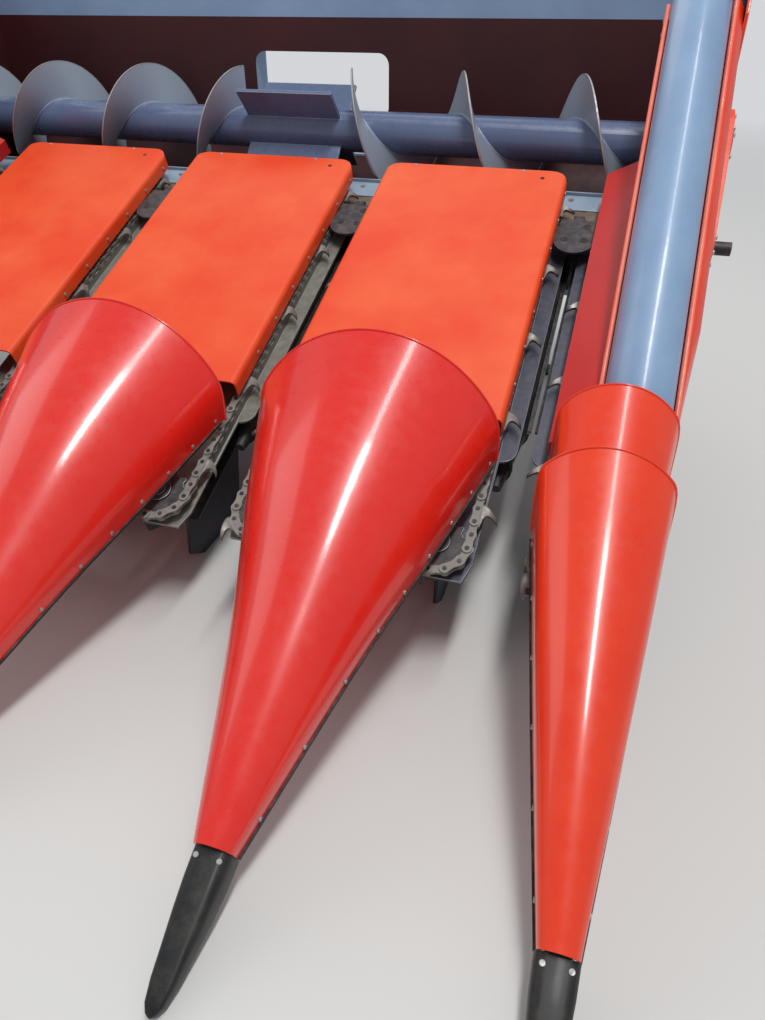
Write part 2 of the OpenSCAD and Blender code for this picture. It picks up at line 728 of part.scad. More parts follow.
module inner_snout(x) {
    snout(x, inner_stations(x), inner_pin_v, arm_x, inner_pin_v - 95);
}

module end_snout(s) {
    scale_x(s) snout(end_rear_x + 4, end_stations, end_pin_v, 60, end_pin_v - 140);
}

// Folded steel shoe at a snout's end
module tip(x) {
    color(dark) on_slope() {
        hull() {
            translate([x - nose_w / 2 + 2, nose_v - 1, -50]) cube([nose_w - 4, 1, 56]);
            translate([x - nose_w / 2 + 8, nose_v - tip_len * 0.6, -34]) cube([nose_w - 16, 1, 38]);
            translate([x, tip_v + 14, tip_bottom_n]) cylinder(r = 14, h = tip_top_n - tip_bottom_n, $fn = 24);
        }
        translate([x - 18, nose_v - 2, -20]) cube([36, 62, 26]);
    }
}

// Stations of the fixed shell behind an end snout, that the guard tube runs into
collar_stations = [
    [collar_v, end_rear_x + 3, end_snout_w / 2 - 7, 74, 136, rake],
    [end_rear_v, end_rear_x + 5, end_snout_w / 2 - 26, 60, 112, 0]];
collar_half = half_at(collar_stations, end_pin_v);

// Collar: arched shell with a floor that lies on the end hood's tongue
module collar(s) {
    color(red) scale_x(s) on_slope() {
        arched_shell(collar_stations, snout_lip, sheet, 10);
        translate([end_rear_x + 4 - collar_half + 2, end_pin_v - 12, 0])
            cube([2 * collar_half - 4, end_wall_v - 1 - end_pin_v + 12, sheet]);
    }
}

// End hood: sloped inner panel, channel for the guard tube, outer skirt and rear wall
module end_hood(s) {
    strip_len = -collar_v - 8;
    tongue_x = end_rear_x + 4 - collar_half + 2 * sheet + 3;
    color(red) scale_x(s) {
        on_slope() {
            along_slope(0, -strip_len) polygon([
                [end_inner_x, -hood_lip], [end_inner_x, 0], [end_wall_x + 2, ridge_n],
                [end_wall_x + 2, ridge_n - 5], [end_inner_x + sheet, -sheet], [end_inner_x + sheet, -hood_lip]]);
            translate([tongue_x, end_pin_v - 16, -sheet])
                cube([2 * (end_rear_x + 4 - tongue_x), 60, sheet]);
            for (v = post_vs) post(row_xs[3] + end_post_x, v, 17);
            translate([end_rear_x + 4, 0, 0]) snout_pin_seat(end_pin_v, 72);
        }
        across(end_wall_x, end_wall_x + sheet) polygon([
            [hood_y - end_rear_gap + 2, hood_z - end_wall_drop],
            guard_offset(-end_rear_gap + 6, 10),
            guard_offset(channel_low_y + 20, 10),
            slope_point(end_wall_v, 20),
            slope_point(end_wall_v, -20)]);
        across(rim_x - sheet, rim_x) polygon([
            guard_offset(-end_rear_gap + 6, guard_r + sheet + 2),
            guard_point(-end_rear_gap),
            guard_point(channel_low_y),
            guard_offset(channel_low_y - 20, guard_r + sheet + 2)]);
        across(end_wall_x + sheet - 1, rim_x - sheet + 1) channel_floor_profile();
        outer_skirt();
        translate([end_wall_x + 1, hood_y - end_rear_gap, hood_z - end_wall_drop])
            cube([side_inner - end_wall_x - 1, sheet, end_rear_top + end_wall_drop]);
    }
}

// Skirt outside the channel; it leans outwards from the rim
module outer_skirt() {
    top = guard_point(-end_rear_gap);
    front_v = collar_v + 5;
    corners = [top, guard_point(channel_low_y + 5), slope_point(front_v + 30 * rake, 30),
        slope_point(front_v - 60 * rake, -60), slope_point(-hood_len - 5, -160), [hood_y - end_rear_gap, hood_z - 150]];
    translate([rim_x - 1, top[0], top[1]]) rotate([guard_rise, 0, 0]) rotate([0, -skirt_tilt, 0])
        across(-sheet + 1, 1) polygon([for (c = corners) rim_local(c - top)]);
}

// A vector (y, z) turned into the rim's own directions
function rim_local(d) = [
    d[0] * cos(guard_rise) + d[1] * sin(guard_rise),
    -d[0] * sin(guard_rise) + d[1] * cos(guard_rise)];

// Point on the guard tube's axis at the distance d forward of the hoods' rear edge
function guard_point(y) = [hood_y + y, hood_z + guard_up + y * tan(guard_rise)];

// Point under the guard tube's axis, square to it
function guard_offset(y, down) = guard_point(y) + down * [sin(guard_rise), -cos(guard_rise)];

module channel_floor_profile() {
    d = guard_r + running_gap;
    back = -end_rear_gap - 20;
    front = channel_low_y - 10;
    polygon([
        guard_offset(back, d), guard_offset(front, d),
        guard_offset(front, d + sheet), guard_offset(back, d + sheet)]);
}

// Straight guard tube from the collar up to the side plate
module guard_tube(s) {
    length = (guard_top_y - guard_low[0]) / cos(guard_rise);
    color(blue_grey) translate([s * guard_x, hood_y + guard_low[0], hood_z + guard_low[1]])
        rotate([guard_rise - 90, 0, 0]) cylinder(r = guard_r, h = length, $fn = 64);
}

main_frame();
back_sheet();
auger_trough();
side_plate(-1);  // side_plate_left
side_plate(1);  // side_plate_right
drive_case(-1);  // drive_case_left
drive_case(1);  // drive_case_right
cross_shaft();
auger_tube();
auger_flights();
row_frame(row_xs[0]);  // row_1_frame
row_frame(row_xs[1]);  // row_2_frame
row_frame(row_xs[2]);  // row_3_frame
row_frame(row_xs[3]);  // row_4_frame
row_deck(row_xs[0]);  // row_1_deck
row_deck(row_xs[1]);  // row_2_deck
row_deck(row_xs[2]);  // row_3_deck
row_deck(row_xs[3]);  // row_4_deck
row_chains(row_xs[0]);  // row_1_chains
row_chains(row_xs[1]);  // row_2_chains
row_chains(row_xs[2]);  // row_3_chains
row_chains(row_xs[3]);  // row_4_chains
roll(row_xs[0], -1);  // row_1_roll_left
roll(row_xs[1], -1);  // row_2_roll_left
roll(row_xs[2], -1);  // row_3_roll_left
roll(row_xs[3], -1);  // row_4_roll_left
roll(row_xs[0], 1);  // row_1_roll_right
roll(row_xs[1], 1);  // row_2_roll_right
roll(row_xs[2], 1);  // row_3_roll_right
roll(row_xs[3], 1);  // row_4_roll_right
hood(-row_pitch);  // hood_2
hood(0);  // hood_3
hood(row_pitch);  // hood_4
end_hood(-1);  // end_hood_left
end_hood(1);  // end_hood_right
collar(-1);  // collar_left
collar(1);  // collar_right
end_snout(-1);  // snout_1
inner_snout(-row_pitch);  // snout_2
inner_snout(0);  // snout_3
inner_snout(row_pitch);  // snout_4
end_snout(1);  // snout_5
tip(-end_nose_x);  // tip_1
tip(-row_pitch);  // tip_2
tip(0);  // tip_3
tip(row_pitch);  // tip_4
tip(end_nose_x);  // tip_5
guard_tube(-1);  // guard_tube_left
guard_tube(1);  // guard_tube_right
stand(-stand_x);  // stand_left
stand(stand_x);  // stand_right
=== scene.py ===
"""Looks of a four-row maize header of a combine harvester, parked by itself on the ground.

The hoods and row units lie on one slope that falls towards the front. Sizes here are millimetres on that
slope: x to the right, v backwards from the hoods' rear edge, n square to the slope.
"""

from __future__ import annotations

import json
import logging
import math
from dataclasses import dataclass, field
from enum import Enum
from typing import Any, Callable, Sequence

import bmesh
import bpy
from mathutils import Matrix, Vector

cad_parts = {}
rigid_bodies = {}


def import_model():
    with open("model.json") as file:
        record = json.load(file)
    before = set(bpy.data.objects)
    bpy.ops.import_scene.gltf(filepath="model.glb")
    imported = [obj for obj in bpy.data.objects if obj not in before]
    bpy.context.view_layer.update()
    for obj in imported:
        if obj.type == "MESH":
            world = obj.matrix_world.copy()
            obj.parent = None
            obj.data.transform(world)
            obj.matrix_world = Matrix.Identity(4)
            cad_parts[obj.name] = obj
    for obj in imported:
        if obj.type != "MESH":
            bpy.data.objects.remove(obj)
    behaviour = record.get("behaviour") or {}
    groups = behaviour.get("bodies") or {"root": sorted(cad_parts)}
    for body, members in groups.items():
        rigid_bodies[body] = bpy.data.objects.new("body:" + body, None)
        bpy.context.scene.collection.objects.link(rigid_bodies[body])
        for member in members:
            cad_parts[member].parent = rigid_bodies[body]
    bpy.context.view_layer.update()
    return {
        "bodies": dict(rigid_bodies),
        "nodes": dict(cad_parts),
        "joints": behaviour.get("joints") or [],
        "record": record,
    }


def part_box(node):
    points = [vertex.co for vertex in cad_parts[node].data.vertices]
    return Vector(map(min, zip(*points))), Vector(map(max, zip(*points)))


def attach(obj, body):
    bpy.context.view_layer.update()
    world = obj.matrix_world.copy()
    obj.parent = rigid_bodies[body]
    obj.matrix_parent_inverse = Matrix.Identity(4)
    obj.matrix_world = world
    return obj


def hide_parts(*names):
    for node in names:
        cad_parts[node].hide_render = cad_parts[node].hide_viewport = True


LOG = logging.getLogger("maize_header")
MM = 0.001
SHARP = math.radians(30)

Point = tuple[float, float, float]
Outline = list[tuple[float, float]]


class Side(Enum):
    """Left or right of the header's middle, as seen from behind it."""

    LEFT = -1
    RIGHT = 1

    @property
    def word(self) -> str:
        """The side's name as the frame's nodes spell it."""
        return self.name.lower()


class Head(Enum):
    """Kinds of fastener head."""

    HEX = "hex"
    PAN = "pan"


def linear(code: str) -> tuple[float, float, float, float]:
    """Turns an sRGB hex colour into linear light.

    Args:
        code: six hex digits, with or without a leading hash.

    Returns:
        Linear red, green, blue and an alpha of one.
    """
    digits = code.lstrip("#")
    values = [int(digits[i:i + 2], 16) / 255 for i in (0, 2, 4)]
    red, green, blue = (c / 12.92 if c <= 0.04045 else ((c + 0.055) / 1.055) ** 2.4 for c in values)
    return red, green, blue, 1.0


def add_node(tree: bpy.types.NodeTree, kind: str, inputs: dict | None = None,
             **settings: Any) -> bpy.types.Node:
    """Adds one node to a tree with its settings, values and links.

    Args:
        tree: the shader or geometry tree.
        kind: the node's type.
        inputs: values or sockets by input name or index.
        settings: the node's own settings.

    Returns:
        The new node.
    """
    node = tree.nodes.new(kind)
    for key, value in settings.items():
        setattr(node, key, value)
    for key, value in (inputs or {}).items():
        if isinstance(value, bpy.types.NodeSocket):
            tree.links.new(value, node.inputs[key])
        else:
            node.inputs[key].default_value = value
    return node


# Finishes


def start_material(name: str) -> tuple[bpy.types.Material, bpy.types.NodeTree]:
    """Makes a material with an empty node tree.

    Args:
        name: the material's name.

    Returns:
        The material and its tree.
    """
    material = bpy.data.materials.new(name)
    material.use_nodes = True
    material.node_tree.nodes.clear()
    return material, material.node_tree


@dataclass(frozen=True)
class Dust:
    """Dry dust that lies on what faces up and gathers in specks."""

    colour: str
    share: float
    speck_mm: float
    detail: float
    crumble: float
    # The dust sets in over these ranges of the face's upward lean and of the speck noise
    lean: tuple[float, float]
    onset: tuple[float, float]

    def settle(self, tree: bpy.types.NodeTree, place: bpy.types.NodeSocket,
               below: bpy.types.NodeSocket) -> tuple[bpy.types.NodeSocket, ...]:
        """Lays the dust over a colour.

        Args:
            tree: the material's tree.
            place: the Object coordinates.
            below: the colour under the dust.

        Returns:
            The dusty colour, the share of dust and the speck noise.
        """
        facing = add_node(tree, "ShaderNodeSeparateXYZ",
                          {"Vector": add_node(tree, "ShaderNodeNewGeometry").outputs["Normal"]})
        upward = add_node(tree, "ShaderNodeMapRange",
                          {"Value": facing.outputs["Z"], "From Min": self.lean[0], "From Max": self.lean[1]})
        speck = add_node(tree, "ShaderNodeTexNoise",
                         {"Vector": place, "Scale": 1 / (self.speck_mm * MM), "Detail": self.detail,
                          "Roughness": self.crumble})
        settled = add_node(tree, "ShaderNodeMapRange",
                           {"Value": speck.outputs["Fac"], "From Min": self.onset[0],
                            "From Max": self.onset[1], "To Max": self.share})
        dusty = add_node(tree, "ShaderNodeMath",
                         {0: upward.outputs["Result"], 1: settled.outputs["Result"]}, operation="MULTIPLY")
        colour = add_node(tree, "ShaderNodeMix",
                          {0: dusty.outputs["Value"], 6: below, 7: linear(self.colour)}, data_type="RGBA")
        return colour.outputs[2], dusty.outputs["Value"], speck.outputs["Fac"]


@dataclass(frozen=True)
class SprayedEnamel:
    """Enamel sprayed on folded sheet steel: flat colour under a thin gloss, with fading and settled dust."""

    name: str
    colour: str
    faded: str
    dust: str = "#b9a892"
    dust_share: float = 0.25
    roughness: float = 0.34
    coat: float = 0.35
    patch_mm: float = 260
    wave_mm: float = 140
    # Real orange peel is 1 to 2 mm wide, too fine to show, so it is drawn coarser
    peel_mm: float = 5

    def build(self) -> bpy.types.Material:
        """Builds the enamel's nodes.

        Returns:
            The material.
        """
        material, tree = start_material(self.name)
        place = add_node(tree, "ShaderNodeTexCoord").outputs["Object"]
        patch = add_node(tree, "ShaderNodeTexNoise",
                         {"Vector": place, "Scale": 1 / (self.patch_mm * MM), "Detail": 5.0,
                          "Roughness": 0.6})
        fade = add_node(tree, "ShaderNodeMapRange",
                        {"Value": patch.outputs["Fac"], "From Min": 0.35, "From Max": 0.7})
        paint = add_node(tree, "ShaderNodeMix",
                         {0: fade.outputs["Result"], 6: linear(self.colour), 7: linear(self.faded)},
                         data_type="RGBA")
        dust = Dust(self.dust, self.dust_share, speck_mm=28, detail=8.0, crumble=0.72, lean=(0.2, 1.0),
                    onset=(0.46, 0.78))
        colour, _, speck = dust.settle(tree, place, paint.outputs[2])
        rough = add_node(tree, "ShaderNodeMapRange",
                         {"Value": speck, "From Min": 0.3, "From Max": 0.75,
                          "To Min": self.roughness, "To Max": self.roughness + 0.16})
        # Spray mist dries to fine peel, and a drawn sheet keeps low waves
        peel = add_node(tree, "ShaderNodeTexNoise",
                        {"Vector": place, "Scale": 1 / (self.peel_mm * MM), "Detail": 2.0})
        wave = add_node(tree, "ShaderNodeTexNoise",
                        {"Vector": place, "Scale": 1 / (self.wave_mm * MM), "Detail": 1.0})
        low = add_node(tree, "ShaderNodeBump",
                       {"Height": wave.outputs["Fac"], "Strength": 0.12, "Distance": 6 * MM})
        fine = add_node(tree, "ShaderNodeBump",
                        {"Height": peel.outputs["Fac"], "Strength": 0.05, "Distance": 0.4 * MM,
                         "Normal": low.outputs["Normal"]})
        skin = add_node(tree, "ShaderNodeBsdfPrincipled",
                        {"Base Color": colour, "Roughness": rough.outputs["Result"], "IOR": 1.5,
                         "Coat Weight": self.coat, "Coat Roughness": 0.12,
                         "Normal": fine.outputs["Normal"]})
        add_node(tree, "ShaderNodeOutputMaterial", {"Surface": skin.outputs["BSDF"]})
        return material


@dataclass(frozen=True)
class WornSteel:
    """Steel that has worked in a crop: rubbed grey, brown with rust in patches, and dry dust on top."""

    name: str
    colour: str
    rust: str = "#6b4a35"
    dust: str = "#9c958a"
    rust_share: float = 0.35
    dust_share: float = 0.4
    metallic: float = 0.75
    roughness: float = 0.42
    patch_mm: float = 45
    # Real scratches are finer than 1 mm and wouldn't show, so they are drawn coarser
    scratch_mm: float = 3

    def build(self) -> bpy.types.Material:
        """Builds the steel's nodes.

        Returns:
            The material.
        """
        material, tree = start_material(self.name)
        place = add_node(tree, "ShaderNodeTexCoord").outputs["Object"]
        patch = add_node(tree, "ShaderNodeTexNoise",
                         {"Vector": place, "Scale": 1 / (self.patch_mm * MM), "Detail": 7.0,
                          "Roughness": 0.65})
        rusty = add_node(tree, "ShaderNodeMapRange",
                         {"Value": patch.outputs["Fac"], "From Min": 0.48, "From Max": 0.68,
                          "To Max": self.rust_share})
        bare = add_node(tree, "ShaderNodeMix",
                        {0: rusty.outputs["Result"], 6: linear(self.colour), 7: linear(self.rust)},
                        data_type="RGBA")
        dust = Dust(self.dust, self.dust_share, speck_mm=18, detail=9.0, crumble=0.75, lean=(0.1, 0.95),
                    onset=(0.4, 0.66))
        colour, dusty, _ = dust.settle(tree, place, bare.outputs[2])
        # Rust and dust are matt, rubbed steel shines along fine scratches that follow the travel
        stretched = add_node(tree, "ShaderNodeMapping", {"Vector": place, "Scale": (1.0, 0.08, 1.0)})
        scratch = add_node(tree, "ShaderNodeTexNoise",
                           {"Vector": stretched.outputs["Vector"], "Scale": 1 / (self.scratch_mm * MM),
                            "Detail": 3.0})
        matt = add_node(tree, "ShaderNodeMath", {0: dusty, 1: rusty.outputs["Result"]}, operation="ADD")
        rough = add_node(tree, "ShaderNodeMapRange",
                         {"Value": matt.outputs["Value"], "To Min": self.roughness, "To Max": 0.85})
        shine = add_node(tree, "ShaderNodeMapRange",
                         {"Value": matt.outputs["Value"], "From Max": 0.5,
                          "To Min": self.metallic, "To Max": 0.0})
        pits = add_node(tree, "ShaderNodeBump",
                        {"Height": patch.outputs["Fac"], "Strength": 0.25, "Distance": 0.8 * MM})
        grain = add_node(tree, "ShaderNodeBump",
                         {"Height": scratch.outputs["Fac"], "Strength": 0.12, "Distance": 0.3 * MM,
                          "Normal": pits.outputs["Normal"]})
        skin = add_node(tree, "ShaderNodeBsdfPrincipled",
                        {"Base Color": colour, "Roughness": rough.outputs["Result"],
                         "Metallic": shine.outputs["Result"], "Normal": grain.outputs["Normal"]})
        add_node(tree, "ShaderNodeOutputMaterial", {"Surface": skin.outputs["BSDF"]})
        return material


def finish(look: SprayedEnamel | WornSteel) -> Any:
    """A field whose material is built together with the other finishes."""
    return field(default_factory=look.build)


@dataclass
class Finishes:
    """The header's materials, one of each."""

    # Sun-bleached orange-red on the flat hoods
    hood_red: bpy.types.Material = finish(SprayedEnamel(
        "sun_faded_red_enamel", "#ef4008", "#f7632f", dust_share=0.04, roughness=0.46, coat=0.05))
    # Deeper and glossier red on the drawn snouts
    snout_red: bpy.types.Material = finish(SprayedEnamel(
        "glossy_red_enamel", "#e61f15", "#ec2c1e", dust_share=0.06, roughness=0.24, coat=0.7))
    # The end snouts' red leans to orange, as glossy as the inner ones'
    end_red: bpy.types.Material = finish(SprayedEnamel(
        "glossy_orange_red_enamel", "#e92f06", "#ef3f10", dust_share=0.05, roughness=0.26, coat=0.6))
    # Deeper red for the faces inside the channels that turn inward or downward: painted shade on the end
    # hoods' paint
    shade_red: bpy.types.Material = finish(SprayedEnamel(
        "unfaded_red_enamel", "#bd1510", "#c91c14", dust_share=0.03, roughness=0.42, coat=0.1))
    # Paler paint on folds, rims and rounded edges: partly rubbed wear, partly a painted highlight along them
    rim_red: bpy.types.Material = finish(SprayedEnamel(
        "rubbed_red_enamel_edge", "#f0664c", "#f48872", dust_share=0.15, roughness=0.36, coat=0.2))
    # Dark red paint of the trough and rear sheet, drawn near black as painted shade; the side plates' inward
    # faces take it as painted shade too
    dark_red: bpy.types.Material = finish(SprayedEnamel(
        "dark_red_enamel", "#360a10", "#461015", dust_share=0.02, roughness=0.55, coat=0.0))
    # Even half-gloss paint of the rear frame and guard tubes
    blue_grey: bpy.types.Material = finish(SprayedEnamel(
        "blue_grey_enamel", "#7f9cc0", "#8fadcf", dust_share=0.12, roughness=0.32, coat=0.3))
    # The auger's tube: the blue-grey paint drawn darker as painted shade, with a high gloss
    auger_blue: bpy.types.Material = finish(SprayedEnamel(
        "crop_polished_blue_enamel", "#5b6a8c", "#66769a", dust_share=0.12, roughness=0.22, coat=0.5))
    # Flights rubbed pale by the crop, with a dull silver sheen
    flight: bpy.types.Material = finish(WornSteel(
        "crop_polished_flight_steel", "#abb8c8", rust_share=0.08, dust_share=0.12, metallic=0.3,
        roughness=0.35, patch_mm=120))
    # Worn light paint along the trough's front strip
    pale_grey: bpy.types.Material = finish(SprayedEnamel(
        "worn_pale_grey_enamel", "#9db4c8", "#8a9fb2", dust_share=0.15, roughness=0.36, coat=0.1,
        patch_mm=90))
    # Link plates under dry dust, with little shine left
    chain: bpy.types.Material = finish(WornSteel(
        "dusty_chain_steel", "#87867f", rust="#554a40", dust="#92918a", rust_share=0.2, dust_share=0.75,
        metallic=0.4, roughness=0.45))
    # Pins and rollers kept dark by oil
    pin: bpy.types.Material = finish(WornSteel(
        "oiled_pin_steel", "#34353a", rust_share=0.25, dust_share=0.25, roughness=0.36))
    # Forged lugs, bright where the stalks rub and brown at the root
    lug: bpy.types.Material = finish(WornSteel(
        "forged_lug_steel", "#8b8a86", rust="#574437", rust_share=0.45, dust_share=0.4,
        roughness=0.4))
    # Deck plates polished by the crop, drawn darker and bluer than their dusty grey as painted shade
    deck: bpy.types.Material = finish(WornSteel(
        "crop_polished_deck_steel", "#4f5361", dust="#74737a", rust_share=0.08, dust_share=0.35,
        metallic=0.5, roughness=0.38, patch_mm=110))
    # The same plates under a coat of pale dust
    dusty_deck: bpy.types.Material = finish(WornSteel(
        "dusty_deck_steel", "#7d7e75", dust="#9a988c", rust_share=0.08, dust_share=0.6,
        metallic=0.25, roughness=0.5, patch_mm=110))
    # Rough dark iron of gearboxes, rails and wheels
    casting: bpy.types.Material = finish(WornSteel(
        "dusty_iron_casting", "#3a3b42", rust_share=0.25, dust_share=0.25, metallic=0.35,
        roughness=0.6))
    # Bare plate, rusted all over and rough
    rusty: bpy.types.Material = finish(WornSteel(
        "rusted_cover_plate_steel", "#6e5c4c", rust="#5d3f2b", rust_share=0.85, dust_share=0.5, metallic=0.3,
        roughness=0.6, patch_mm=30))
    # Dark hardened steel of rolls and knives, drawn darker still as painted shade down in the slot, with rust
    # between the ribs
    roll: bpy.types.Material = finish(WornSteel(
        "hardened_roll_steel", "#33353a", rust_share=0.4, dust_share=0.3, metallic=0.5,
        roughness=0.5))
    # Satin black of tips and stands
    black: bpy.types.Material = finish(SprayedEnamel(
        "satin_black_enamel", "#0f1012", "#17181a", dust_share=0.1, roughness=0.42, coat=0.05))
    # Dull edging and plugs, greyed by dust
    rubber: bpy.types.Material = finish(SprayedEnamel(
        "dusty_rubber_edging", "#1c1b1c", "#2a282b", dust_share=0.35, roughness=0.6, coat=0.0))
    # Bright zinc on screws, nuts and rubbed edges, with a fine spangle
    zinc: bpy.types.Material = finish(WornSteel(
        "zinc_plated_steel", "#b2b4b6", rust="#857a68", rust_share=0.3, dust_share=0.25, metallic=0.7,
        roughness=0.42, patch_mm=9))


# Places and shapes


@dataclass(frozen=True)
class Slope:
    """The plane of the hoods and row units, found from the frame's joints."""

    edge_y: float
    edge_z: float
    angle: float
    # The auger's axis behind and above the hoods' rear edge
    auger_back: float = 200
    auger_up: float = 45

    @classmethod
    def from_joints(cls, joints: list[dict]) -> Slope:
        """Reads the slope from the auger's and a stalk roll's axes.

        Args:
            joints: the frame's joints.

        Returns:
            The slope.
        """
        named = {joint["name"]: joint for joint in joints}
        auger = named["auger_turn"]["pos_m"]
        roll = named["roll_1_left_turn"]["axis"]
        angle = math.atan2(abs(roll[2]), abs(roll[1]))
        return cls(auger[1] / MM - cls.auger_back, auger[2] / MM - cls.auger_up, angle)

    @property
    def matrix(self) -> Matrix:
        """Turns millimetres on the slope into metres in the frame."""
        place = Matrix.Translation((0, self.edge_y * MM, self.edge_z * MM))
        return place @ Matrix.Rotation(self.angle, 4, "X") @ Matrix.Scale(MM, 4)

    def at(self, x: float, v: float, n: float) -> Vector:
        """A point on the slope, in metres in the frame."""
        return self.matrix @ Vector((x, v, n))

    def level(self, y: float, z: float) -> tuple[float, float]:
        """A place y behind and z above the hoods' rear edge, as v and n."""
        c, s = math.cos(self.angle), math.sin(self.angle)
        return y * c + z * s, z * c - y * s


def arc(cx: float, cy: float, r: float, start: float, end: float, steps: int = 8) -> Outline:
    """Points of an arc, with angles in degrees.

    Args:
        cx, cy: the arc's centre.
        r: its radius.
        start, end: its first and last angle.
        steps: how many chords it has.

    Returns:
        The points from start to end.
    """
    turns = [math.radians(start + (end - start) * i / steps) for i in range(steps + 1)]
    return [(cx + r * math.cos(a), cy + r * math.sin(a)) for a in turns]


def circle(cx: float, cy: float, r: float, sides: int = 24) -> Outline:
    """Points round a whole circle, about its centre."""
    return arc(cx, cy, r, 0, 360 - 360 / sides, sides - 1)


def eased(line: Sequence[Point], rounds: int) -> list[Point]:
    """Rounds a line's corners by repeated averaging, with its two ends kept.

    Args:
        line: the points.
        rounds: how often they are averaged.

    Returns:
        The rounded line, with as many points.
    """
    points = [Vector(p) for p in line]
    for _ in range(rounds):
        inner = [(a + 2 * b + c) / 4 for a, b, c in zip(points, points[1:], points[2:])]
        points = [points[0], *inner, points[-1]]
    return [tuple(p) for p in points]


class Sheetwork:
    """Collects the faces of one piece in slope millimetres and makes its object."""

    def __init__(self, name: str) -> None:
        """Starts an empty piece."""
        self.name = name
        self.bm = bmesh.new()

    def prism(self, outline: Outline, low: float, high: float, axis: str = "Z", finish: int = 0,
              move: Matrix | None = None) -> None:
        """Extrudes an outline along an axis and closes it.

        Args:
            outline: its points, in the two other axes in order.
            low, high: where it starts and ends, in either order.
            axis: X, Y or Z.
            finish: the faces' material index.
            move: a turn and shift given to the whole prism.
        """
        order: dict[str, Callable[[float, float, float], Point]] = {
            "Z": lambda a, b, h: (a, b, h), "X": lambda a, b, h: (h, a, b), "Y": lambda a, b, h: (a, h, b)}
        turn = move or Matrix.Identity(4)
        rings = [[self.bm.verts.new(turn @ Vector(order[axis](a, b, h))) for a, b in outline]
                 for h in sorted((low, high))]
        count = len(outline)
        faces = [self.bm.faces.new(rings[0]), self.bm.faces.new(rings[1])]
        for i in range(count):
            j = (i + 1) % count
            faces.append(self.bm.faces.new((rings[0][i], rings[0][j], rings[1][j], rings[1][i])))
        for face in faces:
            face.material_index = finish

    def box(self, low: Point, high: Point, finish: int = 0, move: Matrix | None = None) -> None:
        """Adds a plate or bar between two corners."""
        (x0, y0, z0), (x1, y1, z1) = low, high
        self.prism([(x0, y0), (x1, y0), (x1, y1), (x0, y1)], z0, z1, "Z", finish, move)

    def sweep(self, line: Sequence[Point], r: float, sides: int = 8, finish: int = 0) -> None:
        """Sweeps a circle along a line and closes its ends.

        Args:
            line: the bead's or bar's centre line.
            r: its radius.
            sides: points round it.
            finish: the faces' material index.
        """
        points = [Vector(p) for p in line]
        last = len(points) - 1
        heading = (points[1] - points[0]).normalized()
        side = heading.orthogonal().normalized()
        rings = []
        for i, point in enumerate(points):
            ahead = (points[min(last, i + 1)] - points[max(0, i - 1)]).normalized()
            side = (side - ahead * side.dot(ahead)).normalized()
            other = ahead.cross(side)
            angles = [2 * math.pi * k / sides for k in range(sides)]
            rings.append([self.bm.verts.new(point + r * (side * math.cos(a) + other * math.sin(a)))
                          for a in angles])
        self._skin(rings, True, finish)
        for ring in (rings[0], rings[-1]):
            self.bm.faces.new(ring).material_index = finish

    def loft(self, sections: Sequence[Sequence[Point]], closed: bool = False, caps: bool = False,
             finish: int = 0) -> None:
        """Skins sections that have equal counts of points.

        Args:
            sections: the lines, one after another.
            closed: whether each line is a ring.
            caps: whether the first and last ring get a face.
            finish: the faces' material index.
        """
        rings = [[self.bm.verts.new(p) for p in section] for section in sections]
        self._skin(rings, closed, finish)
        if caps:
            for ring in (rings[0], rings[-1]):
                self.bm.faces.new(ring).material_index = finish

    def turned(self, x: float, y: float, profile: Outline, sides: int = 24) -> None:
        """Turns a profile of radii and heights round an axis along n and closes its ends.

        Args:
            x, y: the axis.
            profile: radius and height of each ring.
            sides: points round it.
        """
        rings = [[(a, b, n) for a, b in circle(x, y, r, sides)] for r, n in profile]
        self.loft(rings, closed=True, caps=True)

    def _skin(self, rings: list[list[bmesh.types.BMVert]], closed: bool, finish: int) -> None:
        """Fills quads between neighbouring rings.

        Args:
            rings: the rings' or lines' vertices.
            closed: whether each is a ring.
            finish: the faces' material index.
        """
        for near, far in zip(rings, rings[1:]):
            for i in range(len(near) if closed else len(near) - 1):
                j = (i + 1) % len(near)
                self.bm.faces.new((near[i], near[j], far[j], far[i])).material_index = finish

    def wall(self, sections: Sequence[Sequence[Point]], t: float, finish: int = 0) -> None:
        """Makes a sheet of thickness t whose outer face runs through the sections.

        Args:
            sections: open lines over the sheet, from one end to the other.
            t: the thickness, taken towards the sections' inside.
            finish: the faces' material index.
        """
        rings = []
        for section in sections:
            line = [Vector(p) for p in section]
            middle = sum(line, Vector()) / len(line)
            inner = []
            for i, point in enumerate(line):
                along = line[min(len(line) - 1, i + 1)] - line[max(0, i - 1)]
                out = Vector((along.z, 0, -along.x)).normalized()
                inner.append(point + t * (out if out.dot(middle - point) > 0 else -out))
            rings.append([tuple(p) for p in line] + [tuple(p) for p in reversed(inner)])
        self.loft(rings, closed=True, finish=finish)
        half = len(rings[0]) // 2
        for ring in (rings[0], rings[-1]):
            verts = [self.bm.verts.new(p) for p in ring]
            for i in range(half - 1):
                quad = (verts[i], verts[i + 1], verts[-2 - i], verts[-1 - i])
                self.bm.faces.new(quad).material_index = finish

    def make(self, materials: Sequence[bpy.types.Material], place: Matrix, sharp: float = SHARP,
             bevel: float = 0.0) -> bpy.types.Object:
        """Merges, turns the faces outwards and makes the object.

        Args:
            materials: its materials by index.
            place: from slope millimetres to the frame.
            sharp: the angle over which an edge stays sharp.
            bevel: width of the rounded edges in millimetres, or none.

        Returns:
            The object, at the origin.
        """
        bmesh.ops.remove_doubles(self.bm, verts=self.bm.verts, dist=0.01)
        bmesh.ops.recalc_face_normals(self.bm, faces=self.bm.faces)
        self.bm.transform(place)
        mesh = bpy.data.meshes.new(self.name)
        self.bm.to_mesh(mesh)
        self.bm.free()
        return finished(mesh, self.name, materials, sharp, bevel)


